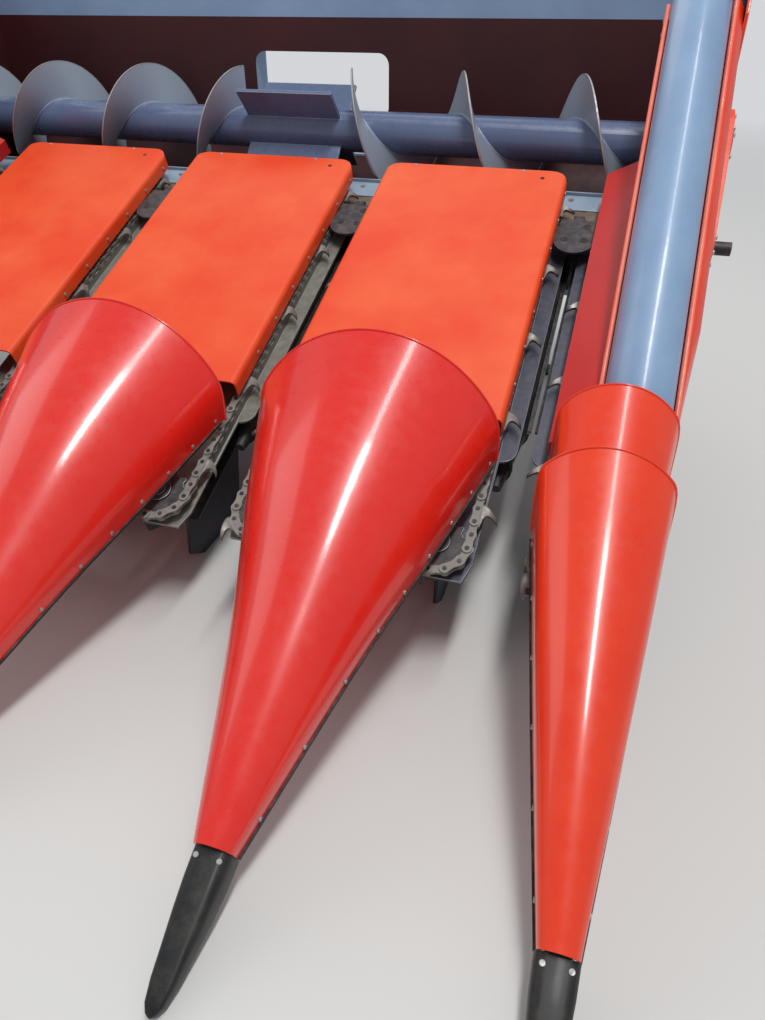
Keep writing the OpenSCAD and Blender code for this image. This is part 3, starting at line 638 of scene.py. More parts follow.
def finished(mesh: bpy.types.Mesh, name: str, materials: Sequence[bpy.types.Material], sharp: float,
             bevel: float) -> bpy.types.Object:
    """Links a mesh as an object with smooth faces, sharp edges and rounded corners.

    Args:
        mesh: the mesh, in metres in the frame.
        name: the piece's name.
        materials: its materials by index.
        sharp: the angle over which an edge stays sharp.
        bevel: width of the rounded edges in millimetres, or none.

    Returns:
        The object.
    """
    for index, material in enumerate(materials):
        if index < len(mesh.materials):
            mesh.materials[index] = material
        else:
            mesh.materials.append(material)
    mesh.shade_smooth()
    mesh.set_sharp_from_angle(angle=sharp)
    piece = bpy.data.objects.new(name, mesh)
    bpy.context.scene.collection.objects.link(piece)
    if bevel:
        rounding = piece.modifiers.new("rounded_edges", "BEVEL")
        rounding.width = bevel * MM
        rounding.segments = 2
        rounding.limit_method = "ANGLE"
        rounding.angle_limit = SHARP
        rounding.harden_normals = True
        # The last material covers the rounded edges; where it is paler it stands partly for rubbed wear and
        # partly for a painted highlight along them
        rounding.material = len(materials) - 1
    return piece


# What repeats


@dataclass(frozen=True)
class Placed:
    """A spot on a surface and the way out of it, both in the frame."""

    spot: Vector
    out: Vector


def start_tree(name: str, inputs: dict[str, str]) -> tuple[bpy.types.NodeTree, bpy.types.Node]:
    """Starts a geometry tree that takes and gives a geometry.

    Args:
        name: the tree's name.
        inputs: the kind of each further input by its name.

    Returns:
        The tree and its input node.
    """
    tree = bpy.data.node_groups.new(name, "GeometryNodeTree")
    for label, kind in {"Geometry": "Geometry", **inputs}.items():
        tree.interface.new_socket(name=label, in_out="INPUT", socket_type="NodeSocket" + kind)
    tree.interface.new_socket(name="Geometry", in_out="OUTPUT", socket_type="NodeSocketGeometry")
    return tree, add_node(tree, "NodeGroupInput")


def end_tree(tree: bpy.types.NodeTree, geometry: bpy.types.NodeSocket,
             finishes: Sequence[bpy.types.NodeSocket]) -> None:
    """Realizes the instances, sets the material and gives the result.

    Args:
        tree: the geometry tree.
        geometry: what it has made.
        finishes: one material for all, or several that stay on the faces that have them.
    """
    dressed = add_node(tree, "GeometryNodeRealizeInstances", {"Geometry": geometry})
    for material in finishes:
        inputs = {"Geometry": dressed.outputs["Geometry"], "Material": material}
        if len(finishes) > 1:
            worn = add_node(tree, "GeometryNodeMaterialSelection", {"Material": material})
            inputs["Selection"] = worn.outputs["Selection"]
        dressed = add_node(tree, "GeometryNodeSetMaterial", inputs)
    add_node(tree, "NodeGroupOutput", {"Geometry": dressed.outputs["Geometry"]})


class Repeater:
    """Runs one geometry tree on a base object and keeps the result as a plain mesh."""

    def __init__(self, tree: bpy.types.NodeTree) -> None:
        """Takes the tree and notes its inputs' identifiers.

        Args:
            tree: the geometry tree that the modifier runs.
        """
        self.tree = tree
        self.sockets = {item.name: item.identifier for item in tree.interface.items_tree
                        if item.in_out == "INPUT"}

    def run(self, base: bpy.types.ID, name: str, values: dict[str, Any]) -> bpy.types.Mesh:
        """Evaluates the tree over a base mesh or curve.

        Args:
            base: the mesh or curve that the tree starts from.
            name: the result's name.
            values: the tree's inputs by name.

        Returns:
            The realized mesh.
        """
        holder = bpy.data.objects.new(name + "_base", base)
        bpy.context.scene.collection.objects.link(holder)
        modifier = holder.modifiers.new("repeat", "NODES")
        modifier.node_group = self.tree
        for key, value in values.items():
            modifier[self.sockets[key]] = value
        bpy.context.view_layer.update()
        seen = holder.evaluated_get(bpy.context.evaluated_depsgraph_get())
        mesh = bpy.data.meshes.new_from_object(seen)
        mesh.name = name
        holder.modifiers.clear()
        bpy.data.objects.remove(holder)
        return mesh


def fastener_tree() -> bpy.types.NodeTree:
    """Builds the tree that stands one head on each vertex, along its outward direction.

    Returns:
        The geometry tree with inputs Head and Finish.
    """
    tree, given = start_tree("heads_on_spots", {"Head": "Object", "Finish": "Material"})
    head = add_node(tree, "GeometryNodeObjectInfo", {"Object": given.outputs["Head"]})
    out = add_node(tree, "GeometryNodeInputNamedAttribute", {"Name": "out"}, data_type="FLOAT_VECTOR")
    turned = add_node(tree, "FunctionNodeAlignRotationToVector",
                      {"Vector": out.outputs["Attribute"]}, axis="Z")
    stood = add_node(tree, "GeometryNodeInstanceOnPoints",
                     {"Points": given.outputs["Geometry"], "Instance": head.outputs["Geometry"],
                      "Rotation": turned.outputs["Rotation"]})
    end_tree(tree, stood.outputs["Instances"], [given.outputs["Finish"]])
    return tree


def chain_tree() -> bpy.types.NodeTree:
    """Builds the tree that lays links round a loop, with a hooked lug after each spacing of links.

    Returns:
        The geometry tree with inputs Links, Spacing, Outer, Inner, Hook, Plate, Pin and Horn.
    """
    finishes = ("Plate", "Pin", "Horn")
    kinds = {"Links": "Int", "Spacing": "Int", "Outer": "Object", "Inner": "Object", "Hook": "Object"}
    tree, given = start_tree("links_on_loop", kinds | dict.fromkeys(finishes, "Material"))
    laid = add_node(tree, "GeometryNodeResampleCurve",
                    {"Curve": given.outputs["Geometry"], "Count": given.outputs["Links"]}, mode="COUNT")
    turned = add_node(tree, "FunctionNodeAlignRotationToVector",
                      {"Vector": add_node(tree, "GeometryNodeInputTangent").outputs["Tangent"]},
                      axis="X", pivot_axis="Z")
    index = add_node(tree, "GeometryNodeInputIndex").outputs["Index"]
    parts = add_node(tree, "GeometryNodeJoinGeometry")
    for name, every, which in (("Outer", 2, 0), ("Inner", 2, 1), ("Hook", given.outputs["Spacing"], 0)):
        left = add_node(tree, "ShaderNodeMath", {0: index, 1: every}, operation="MODULO")
        chosen = add_node(tree, "FunctionNodeCompare", {0: left.outputs["Value"], 1: which},
                          data_type="FLOAT", operation="EQUAL")
        shape = add_node(tree, "GeometryNodeObjectInfo", {"Object": given.outputs[name]})
        stood = add_node(tree, "GeometryNodeInstanceOnPoints",
                         {"Points": laid.outputs["Curve"], "Selection": chosen.outputs["Result"],
                          "Instance": shape.outputs["Geometry"], "Rotation": turned.outputs["Rotation"]})
        tree.links.new(stood.outputs["Instances"], parts.inputs["Geometry"])
    end_tree(tree, parts.outputs["Geometry"], [given.outputs[name] for name in finishes])
    return tree


def flight_tree() -> bpy.types.NodeTree:
    """Builds the tree that winds a flat strip into a helical flight.

    The base is a straight strip: x is the share of the winding, y the share of the reach from the tube to
    the rim, and z the share of the thickness.

    Returns:
        The geometry tree with inputs Start, Pitch, Turns, Inner, Outer, Thick and Finish.
    """
    sizes = ("Start", "Pitch", "Turns", "Inner", "Outer", "Thick")
    tree, given = start_tree("helical_flight", dict.fromkeys(sizes, "Float") | {"Finish": "Material"})
    flat = add_node(tree, "ShaderNodeSeparateXYZ",
                    {"Vector": add_node(tree, "GeometryNodeInputPosition").outputs["Position"]})

    def maths(kind: str, first: Any, second: Any = 0.0) -> bpy.types.NodeSocket:
        """One arithmetic step."""
        return add_node(tree, "ShaderNodeMath", {0: first, 1: second}, operation=kind).outputs["Value"]

    wound = maths("MULTIPLY", flat.outputs["X"], given.outputs["Turns"])
    along = maths("ADD", given.outputs["Start"], maths("MULTIPLY", wound, given.outputs["Pitch"]))
    angle = maths("MULTIPLY", wound, 2 * math.pi)
    height = maths("SUBTRACT", given.outputs["Outer"], given.outputs["Inner"])
    reach = maths("MULTIPLY", flat.outputs["Y"], height)
    radius = maths("ADD", given.outputs["Inner"], reach)
    thick = maths("MULTIPLY", flat.outputs["Z"], given.outputs["Thick"])
    spot = add_node(tree, "ShaderNodeCombineXYZ",
                    {"X": maths("ADD", along, thick),
                     "Y": maths("MULTIPLY", radius, maths("MULTIPLY", maths("SINE", angle), -1.0)),
                     "Z": maths("MULTIPLY", radius, maths("COSINE", angle))})
    wrapped = add_node(tree, "GeometryNodeSetPosition",
                       {"Geometry": given.outputs["Geometry"], "Position": spot.outputs["Vector"]})
    end_tree(tree, wrapped.outputs["Geometry"], [given.outputs["Finish"]])
    return tree


@dataclass
class Workshop:
    """What every sub-assembly shares: the frame, the slope, the finishes and the trees."""

    frame: dict
    slope: Slope
    finishes: Finishes
    heads: dict[Head, bpy.types.Object] = field(default_factory=dict)
    fasteners: Repeater = field(default_factory=lambda: Repeater(fastener_tree()))
    chains: Repeater = field(default_factory=lambda: Repeater(chain_tree()))
    flights: Repeater = field(default_factory=lambda: Repeater(flight_tree()))
    templates: list[bpy.types.Object] = field(default_factory=list)
    row_pitch: float = 600
    gap: float = 98

    @property
    def row_xs(self) -> list[float]:
        """The middles of the four rows."""
        return [(k - 1.5) * self.row_pitch for k in range(4)]

    def make_heads(self) -> None:
        """Makes the fastener heads, in metres."""
        place = Matrix.Scale(MM, 4)
        for kind, radius, height, sides in ((Head.HEX, 6.0, 4.6, 6), (Head.PAN, 4.4, 2.4, 16)):
            work = Sheetwork(kind.value + "_head")
            if kind is Head.HEX:
                work.prism(circle(0, 0, 8), -0.5, 1.2)
            work.turned(0, 0, [(radius, -0.5), (radius, height * 0.75), (0.82 * radius, height)], sides)
            head = work.make([self.finishes.zinc], place)
            self.heads[kind] = head
            self.templates.append(head)

    def show(self, piece: bpy.types.Object, body: str, slot: str, *nodes: str) -> None:
        """Puts a finished piece on its body and hides the nodes that it stands for.

        Args:
            piece: the piece.
            body: the body it moves with.
            slot: the record's material slot; not used.
            nodes: CAD nodes that it replaces.
        """
        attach(piece, body)
        if nodes:
            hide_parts(*nodes)
        LOG.info("%s rides on %s", piece.name, body)

    def dress_node(self, node: str, body: str, materials: Sequence[bpy.types.Material], bevel: float = 1.2,
                   zone: Callable[[Vector, Vector], int] | None = None,
                   cut_z: float | None = None) -> bpy.types.Object:
        """Puts a merged, smooth copy of a CAD node in the node's place.

        Args:
            node: the CAD node.
            body: its body.
            materials: the copy's materials; the last one also covers its rounded edges, and where it is paler
                it is partly rubbed wear and partly a painted highlight.
            bevel: width of the rounded edges in millimetres.
            zone: gives a face's material index from its middle in slope millimetres and its normal.
            cut_z: a height in metres at which faces are split, so that zones can differ.

        Returns:
            The copy.
        """
        mesh = self.frame["nodes"][node].data.copy()
        bm = bmesh.new()
        bm.from_mesh(mesh)
        bmesh.ops.remove_doubles(bm, verts=bm.verts, dist=1e-5)
        bmesh.ops.dissolve_limit(bm, angle_limit=math.radians(0.5), verts=bm.verts, edges=bm.edges,
                                 use_dissolve_boundaries=False)
        if cut_z is not None:
            bmesh.ops.bisect_plane(bm, geom=[*bm.verts, *bm.edges, *bm.faces], plane_co=(0, 0, cut_z),
                                   plane_no=(0, 0, 1))
        back = self.slope.matrix.inverted()
        for face in bm.faces:
            face.material_index = zone(back @ face.calc_center_median(), face.normal) if zone else 0
        bm.to_mesh(mesh)
        bm.free()
        piece = finished(mesh, node + "_made", materials, SHARP, bevel)
        self.show(piece, body, node, node)
        return piece

    def fasten(self, name: str, body: str, slot: str, spots: list[Placed], head: Head) -> None:
        """Stands one head on each spot.

        Args:
            name: the piece's name.
            body: the body they move with.
            slot: the record's material slot.
            spots: where they are, in the frame.
            head: the kind of head.
        """
        base = bpy.data.meshes.new(name + "_spots")
        base.from_pydata([tuple(p.spot) for p in spots], [], [])
        out = base.attributes.new("out", "FLOAT_VECTOR", "POINT")
        for item, placed in zip(out.data, spots):
            item.vector = placed.out
        mesh = self.fasteners.run(base, name, {"Head": self.heads[head], "Finish": self.finishes.zinc})
        self.show(finished(mesh, name, [self.finishes.zinc], SHARP, 0.0), body, slot)

    def on_slope(self, x: float, v: float, n: float, out: Point) -> Placed:
        """A spot and outward direction given in slope millimetres."""
        turn = Matrix.Rotation(self.slope.angle, 3, "X")
        return Placed(self.slope.at(x, v, n), turn @ Vector(out))

    def clear_templates(self) -> None:
        """Removes the shapes that were only repeated."""
        for shape in self.templates:
            bpy.data.objects.remove(shape)
        self.templates.clear()


# Dividers


@dataclass(frozen=True)
class Station:
    """One cross-section of an arched shell."""

    v: float
    x: float
    half: float
    shoulder: float
    crown: float
    rake: float = 0.0

    def line(self, lip: float, wall_steps: int = 5, crown_steps: int = 34) -> list[Point]:
        """The section's outer line, from the left foot over the crown to the right foot.

        Args:
            lip: how far the side walls reach below the slope.
            wall_steps: points up each wall.
            crown_steps: chords of the crown's arc.

        Returns:
            The line, with its shoulders rounded.
        """
        rise = self.crown - self.shoulder
        r = (self.half ** 2 + rise ** 2) / (2 * rise)
        a = math.degrees(math.asin(min(1.0, self.half / r)))
        wall = [(-self.half, -lip + (self.shoulder + lip) * i / wall_steps) for i in range(wall_steps)]
        top = arc(0, self.crown - r, r, 90 + a, 90 - a, crown_steps)
        flat = wall + top + [(-p, q) for p, q in reversed(wall)]
        soft = eased([(p, 0.0, q) for p, q in flat], 3)
        return [(self.x + p, self.v + self.rake * q, q) for p, _, q in soft]


def between(stations: Sequence[Station], steps: int) -> list[Station]:
    """Fills in stations along one smooth curve through the given ones.

    Args:
        stations: the driving sections, from the rear forwards.
        steps: how many sections lie between two of them.

    Returns:
        All the sections.
    """
    values = [(s.v, s.x, s.half, s.shoulder, s.crown, s.rake) for s in stations]
    filled = []
    for i in range(len(values) - 1):
        p0, p1, p2, p3 = (values[min(len(values) - 1, max(0, i + k))] for k in (-1, 0, 1, 2))
        for k in range(steps):
            t = k / steps
            mixed = []
            for column in range(6):
                length = p2[0] - p1[0]
                slope_in = (p2[column] - p0[column]) / (p2[0] - p0[0]) * length
                slope_out = (p3[column] - p1[column]) / (p3[0] - p1[0]) * length
                a, b = p1[column], p2[column]
                mixed.append((2 * t ** 3 - 3 * t ** 2 + 1) * a + (t ** 3 - 2 * t ** 2 + t) * slope_in
                             + (3 * t ** 2 - 2 * t ** 3) * b + (t ** 3 - t ** 2) * slope_out)
            filled.append(Station(*mixed))
    return filled + [stations[-1]]


@dataclass
class Divider:
    """A snout with its tip piece, hung on the hood's pin."""

    shop: Workshop
    number: int
    sheet: float = 4
    lip: float = 30
    nose_v: float = -1802
    nose_w: float = 66
    tip_len: float = 216
    pin_n: float = -26
    inner_pin_v: float = -935
    end_pin_v: float = -1040
    end_nose_x: float = 1103
    arms_x: float = 1071
    eye_r: float = 14
    wire_r: float = 2.2

    @property
    def inner(self) -> bool:
        """Whether this divider stands between two rows."""
        return 1 < self.number < 5

    @property
    def side(self) -> int:
        """Which way the divider's outer side faces."""
        return -1 if self.number == 1 else 1

    @property
    def body(self) -> str:
        """The body that this divider moves with."""
        return f"divider_{self.number}"

    @property
    def nose_x(self) -> float:
        """The middle of the snout's front end."""
        return (self.number - 3) * self.shop.row_pitch if self.inner else self.side * self.end_nose_x

    def stations(self) -> list[Station]:
        """The snout's driving sections.

        Returns:
            The sections, rear first, each with its place, middle, half width, shoulder, crown and rake.
        """
        rake = math.tan(self.shop.slope.angle)
        if self.inner:
            x, rear = self.nose_x, self.inner_pin_v - 25
            return [Station(rear, x, 255, 42, 195, rake), Station(rear - 230, x, 194, 22, 161.9, 0.3 * rake),
                    Station(rear - 480, x, 122, 6, 97.5), Station(self.nose_v, x, 33, 0, 22)]
        s, rear = self.side, self.end_pin_v - 72
        return [Station(rear, s * 1067, 118, 92, 150, rake), Station(rear - 330, s * 1083, 77, 48, 96),
                Station(self.nose_v, self.nose_x, 29, 4, 24)]

    def build(self) -> None:
        """Builds the snout, the tip and their fasteners."""
        self.build_snout()
        self.build_tip()
        self.build_screws()

    def build_snout(self) -> None:
        """Builds the drawn shell with its rim, bulkhead, arms and edge strips."""
        finishes = self.shop.finishes
        filled = between(self.stations(), 12)
        lines = [s.line(self.lip) for s in filled]
        work = Sheetwork(f"snout_{self.number}_shell")
        work.wall(lines, self.sheet)
        # The rear edge is rolled over a wire
        rear = [(x, v - 3, n) for x, v, n in lines[0]]
        work.sweep(rear, self.wire_r)
        for foot in (0, -1):
            edge = [line[foot] for line in lines[1:]]
            away = -1 if foot == 0 else 1
            corners = ((-3, 0), (3.5, 0), (3.5, 5), (-3, 5))
            strip = [[(x + away * a, v, n + b) for a, b in corners] for x, v, n in edge]
            work.loft(strip, closed=True, caps=True, finish=1)
        self.add_bulkhead(work, filled)
        red = finishes.snout_red if self.inner else finishes.end_red
        materials = [red, finishes.rubber]
        piece = work.make(materials, self.shop.slope.matrix, math.radians(38))
        node = f"snout_{self.number}"
        self.shop.show(piece, self.body, node, node)

    def add_bulkhead(self, work: Sheetwork, filled: Sequence[Station]) -> None:
        """Adds the plate across the snout and the two arms that hang on the pin.

        Args:
            work: the snout's faces.
            filled: all the snout's sections.
        """
        pin_v = self.inner_pin_v if self.inner else self.end_pin_v
        depth, arm = (95, 153) if self.inner else (140, 60)
        plate_v = pin_v - depth
        near = min(filled, key=lambda s: abs(s.v - plate_v))
        x, half = near.x, near.half - 2 * self.sheet
        if not self.inner:
            x = self.side * self.arms_x
        low = -self.lip + 2
        work.box((near.x - half, plate_v, low), (near.x + half, plate_v + 5, low + 60))
        eye = arc(pin_v, self.pin_n, self.eye_r, 235, 495, 16)
        profile = [(plate_v + 4, self.pin_n + 8), (plate_v + 4, self.pin_n - 2),
                   (pin_v - 12, self.pin_n - 8), *eye]
        for s in (-1, 1):
            work.prism(profile, x + s * arm - 3, x + s * arm + 3, "X")

    def build_tip(self) -> None:
        """Builds the folded shoe at the snout's front, with its socket."""
        x, half, length = self.nose_x, self.nose_w / 2 - 2, self.tip_len
        work = Sheetwork(f"tip_{self.number}_shoe")
        # Distance forward of the snout, half width, top and bottom
        shape = [(0, half, 6, -50), (0.2 * length, half - 1, 6, -48), (0.4 * length, half - 4, 5, -42),
                 (0.6 * length, half - 8, 3, -34), (0.8 * length, 19, 1.5, -25), (0.93 * length, 14, 0, -18),
                 (length - 4, 8, -2, -14), (length, 2, -5, -11)]
        sections = []
        for ahead, w, top, low in shape:
            r = min(w, (top - low) / 2) * 0.6
            ring = (arc(w - r, top - r, r, 0, 90, 5) + arc(-w + r, top - r, r, 90, 180, 5)
                    + arc(-w + r * 0.4, low + r * 0.4, r * 0.4, 180, 270, 3)
                    + arc(w - r * 0.4, low + r * 0.4, r * 0.4, 270, 360, 3))
            sections.append([(x + a, self.nose_v - ahead, b) for a, b in ring])
        work.loft(sections, closed=True, caps=True)
        work.box((x - 18, self.nose_v - 2, -20), (x + 18, self.nose_v + 60, 6))
        piece = work.make([self.shop.finishes.black], self.shop.slope.matrix, math.radians(40))
        node = f"tip_{self.number}"
        self.shop.show(piece, self.body, node, node)

    def build_screws(self) -> None:
        """Puts screws along the snout's foot and bolts on the tip."""
        shop = self.shop
        filled = between(self.stations(), 6)
        spots = []
        for station in filled[1:-1:2]:
            for s in (-1, 1):
                spots.append(shop.on_slope(station.x + s * station.half, station.v, -16, (s, 0, 0)))
        shop.fasten(f"snout_{self.number}_screws", self.body, f"snout_{self.number}", spots, Head.PAN)
        bolts = [shop.on_slope(self.nose_x + dx, self.nose_v - 14, 5.6, (0, 0, 1)) for dx in (-19, 19)]
        shop.fasten(f"tip_{self.number}_bolts", self.body, f"tip_{self.number}", bolts, Head.PAN)


# Hoods


@dataclass
class Hoods:
    """The fixed covers between and beside the rows."""

    shop: Workshop
    length: float = 895
    sheet: float = 4
    screw_pitch: float = 118
    end_wall_x: float = 1026
    rim_x: float = 1176
    guard_r: float = 65
    guard_rise: float = 37.8
    guard_x: float = 1101
    guard_up: float = 386.9
    first_screw_v: float = -60
    bolt_xs: tuple[float, float] = (-168, 132)
    plug_x: float = 186
    plug_v: float = -36
    rim_y: float = -14
    inner_rim: float = 800
    outer_rim: float = 838
    rim_steps: int = 10
    hem_run: float = 170
    collar_x: float = 1071
    collar_half: float = 102
    tab_vs: tuple[float, float] = (-1052, -1004)
    wire_r: float = 2.2

    @property
    def width(self) -> float:
        """Width of an inner hood."""
        return self.shop.row_pitch - self.shop.gap

    @property
    def screw_vs(self) -> list[float]:
        """Places of the screws along a hood's side, from the rear."""
        count = int(self.length // self.screw_pitch)
        return [self.first_screw_v - k * self.screw_pitch for k in range(count)]

    def build(self) -> None:
        """Builds the inner hoods, the end hoods and their collars and guard tubes."""
        for number in (2, 3, 4):
            self.build_inner(number)
        for side in Side:
            self.build_end(side)

    def build_inner(self, number: int) -> None:
        """Dresses one inner hood and adds its screws, bolts and plug.

        Args:
            number: the hood's place, which is its divider's.
        """
        shop, finishes = self.shop, self.shop.finishes
        node = f"hood_{number}"
        shop.dress_node(node, "header", [finishes.hood_red, finishes.rim_red], bevel=1.0)
        x, half = (number - 3) * shop.row_pitch, self.width / 2
        screws = [shop.on_slope(x + s * half, v, -26, (s, 0, 0)) for s in (-1, 1) for v in self.screw_vs]
        shop.fasten(f"{node}_screws", "header", node, screws, Head.PAN)
        bolts = [shop.on_slope(x + dx, -7, -0.4, (0, 0, 1)) for dx in self.bolt_xs]
        shop.fasten(f"{node}_bolts", "header", node, bolts, Head.PAN)
        # A dark plug closes the mounting hole near the rear corner
        work = Sheetwork(f"{node}_plug")
        work.turned(x + self.plug_x, self.plug_v, [(5.5, -0.5), (5.5, 0.5), (4.5, 0.5), (3.6, 0.1)])
        shop.show(work.make([finishes.rubber], shop.slope.matrix), "header", node)

    def guard_line(self, side: Side, x: float, y: float, down: float) -> Point:
        """A place under the guard tube's axis, in slope millimetres.

        Args:
            side: left or right.
            x: distance from the header's middle.
            y: distance behind the hoods' rear edge, on the axis.
            down: distance under the axis, square to it.

        Returns:
            The place.
        """
        a = math.radians(self.guard_rise)
        up = self.guard_up + y * math.tan(a) - down * math.cos(a)
        v, n = self.shop.slope.level(y + down * math.sin(a), up)
        return side.value * x, v, n

    def build_end(self, side: Side) -> None:
        """Dresses one end hood with its rolled rims, collar, guard tube and fasteners.

        Args:
            side: left or right.
        """
        shop, finishes = self.shop, self.shop.finishes
        word = side.word
        reds = [finishes.end_red, finishes.shade_red, finishes.rim_red]
        # Faces that turn inward or downward take the deeper red as painted shade
        shop.dress_node(f"end_hood_{word}", "header", reds, bevel=1.0,
                        zone=lambda spot, normal: int(side.value * normal.x < -0.3 or normal.z < -0.3))
        self.build_rims(side)
        self.build_collar(side)
        self.build_guard(side)
        inner_x = side.value * (shop.row_xs[3] + shop.gap / 2)
        screws = [shop.on_slope(inner_x, v, -24, (-side.value, 0, 0)) for v in self.screw_vs]
        shop.fasten(f"end_hood_{word}_screws", "header", f"end_hood_{word}", screws, Head.PAN)

    def build_rims(self, side: Side) -> None:
        """Rolls the channel's two top edges and hangs the outer one's hem over the skirt.

        Args:
            side: left or right.
        """
        shop, finishes = self.shop, self.shop.finishes
        node = f"end_hood_{side.word}"
        work = Sheetwork(f"{node}_rims")
        inner, outer = ([self.rim_y - length * k / self.rim_steps for k in range(self.rim_steps + 1)]
                        for length in (self.inner_rim, self.outer_rim))
        work.sweep([self.guard_line(side, self.end_wall_x + 3, y, 10) for y in inner], 5, 12)
        work.sweep([self.guard_line(side, self.rim_x - 2, y, 0) for y in outer], 6, 12)
        # Distance out from the rim and down from the guard tube's axis; the low end runs in to the collar
        hem = ((0, -4), (5, -5), (9, -2), (21, 22), (19, 24), (6, 3), (0, 2))
        rings = []
        for y in outer:
            share = 0.25 + 0.75 * min(1.0, (y - outer[-1]) / self.hem_run)
            rings.append([self.guard_line(side, self.rim_x + share * out, y, down) for out, down in hem])
        work.loft(rings, closed=True, caps=True, finish=1)
        # The rolled rims take the paler edge red, partly as painted highlight and partly as rubbed wear
        shop.show(work.make([finishes.rim_red, finishes.end_red], shop.slope.matrix), "header", node)
        spots = [shop.on_slope(*self.guard_line(side, self.end_wall_x - 1, y, 18), (-side.value, 0, 0))
                 for y in (-46, -78)]
        shop.fasten(f"{node}_rim_screws", "header", node, spots, Head.PAN)

    def build_collar(self, side: Side) -> None:
        """Builds the arched shell between an end hood and its snout.

        Args:
            side: left or right.
        """
        shop = self.shop
        s, rake = side.value, math.tan(self.shop.slope.angle)
        stations = [Station(-self.length - 50, s * 1070, 111, 74, 136, rake),
                    Station(-1112, s * 1072, 92, 60, 112)]
        lines = [station.line(30, crown_steps=28) for station in between(stations, 8)]
        work = Sheetwork(f"collar_{side.word}_shell")
        work.wall(lines, self.sheet)
        work.sweep([(x, v + 1, n) for x, v, n in lines[0]], self.wire_r)
        # A tab inside carries the collar on the hood
        left, right = (s * self.collar_x + away * self.collar_half for away in (-1, 1))
        front, rear = self.tab_vs
        work.box((left, front, 0), (right, rear, self.sheet))
        piece = work.make([shop.finishes.end_red], shop.slope.matrix, math.radians(38))
        shop.show(piece, "header", f"collar_{side.word}", f"collar_{side.word}")

    def build_guard(self, side: Side) -> None:
        """Builds the long tube that leads bent stalks over the end.

        Args:
            side: left or right.
        """
        shop = self.shop
        node = f"guard_tube_{side.word}"
        low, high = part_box(node)
        full, lean = self.guard_r, math.radians(self.guard_rise)
        # The tube's end faces are square to it, so its axis starts and ends half a section inside its box
        start, end = ((corner.y / MM - shop.slope.edge_y + s * full * math.sin(lean),
                       corner.z / MM - shop.slope.edge_z + s * full * math.cos(lean))
                      for corner, s in ((low, 1), (high, -1)))
        length = math.dist(start, end)
        work = Sheetwork(f"{node}_rolled")
        # Distance along the tube and radius: pressed end, body, pressed end
        profile = [(0, 30), (0, full - 6), (2, full - 1.5), (6, full), (length * 0.5, full),
                   (length - 12, full), (length - 8, full - 0.8), (length, full - 0.8), (length, 30)]
        rings = []
        for along, r in profile:
            y = start[0] + (end[0] - start[0]) * along / length
            z = start[1] + (end[1] - start[1]) * along / length
            ring = []
            for a, b in circle(0, 0, r, 72):
                v, n = shop.slope.level(y - b * math.sin(lean), z + b * math.cos(lean))
                ring.append((side.value * self.guard_x + a, v, n))
            rings.append(ring)
        work.loft(rings, closed=True, caps=True)
        shop.show(work.make([shop.finishes.blue_grey], shop.slope.matrix), "header", node, node)


# Row units


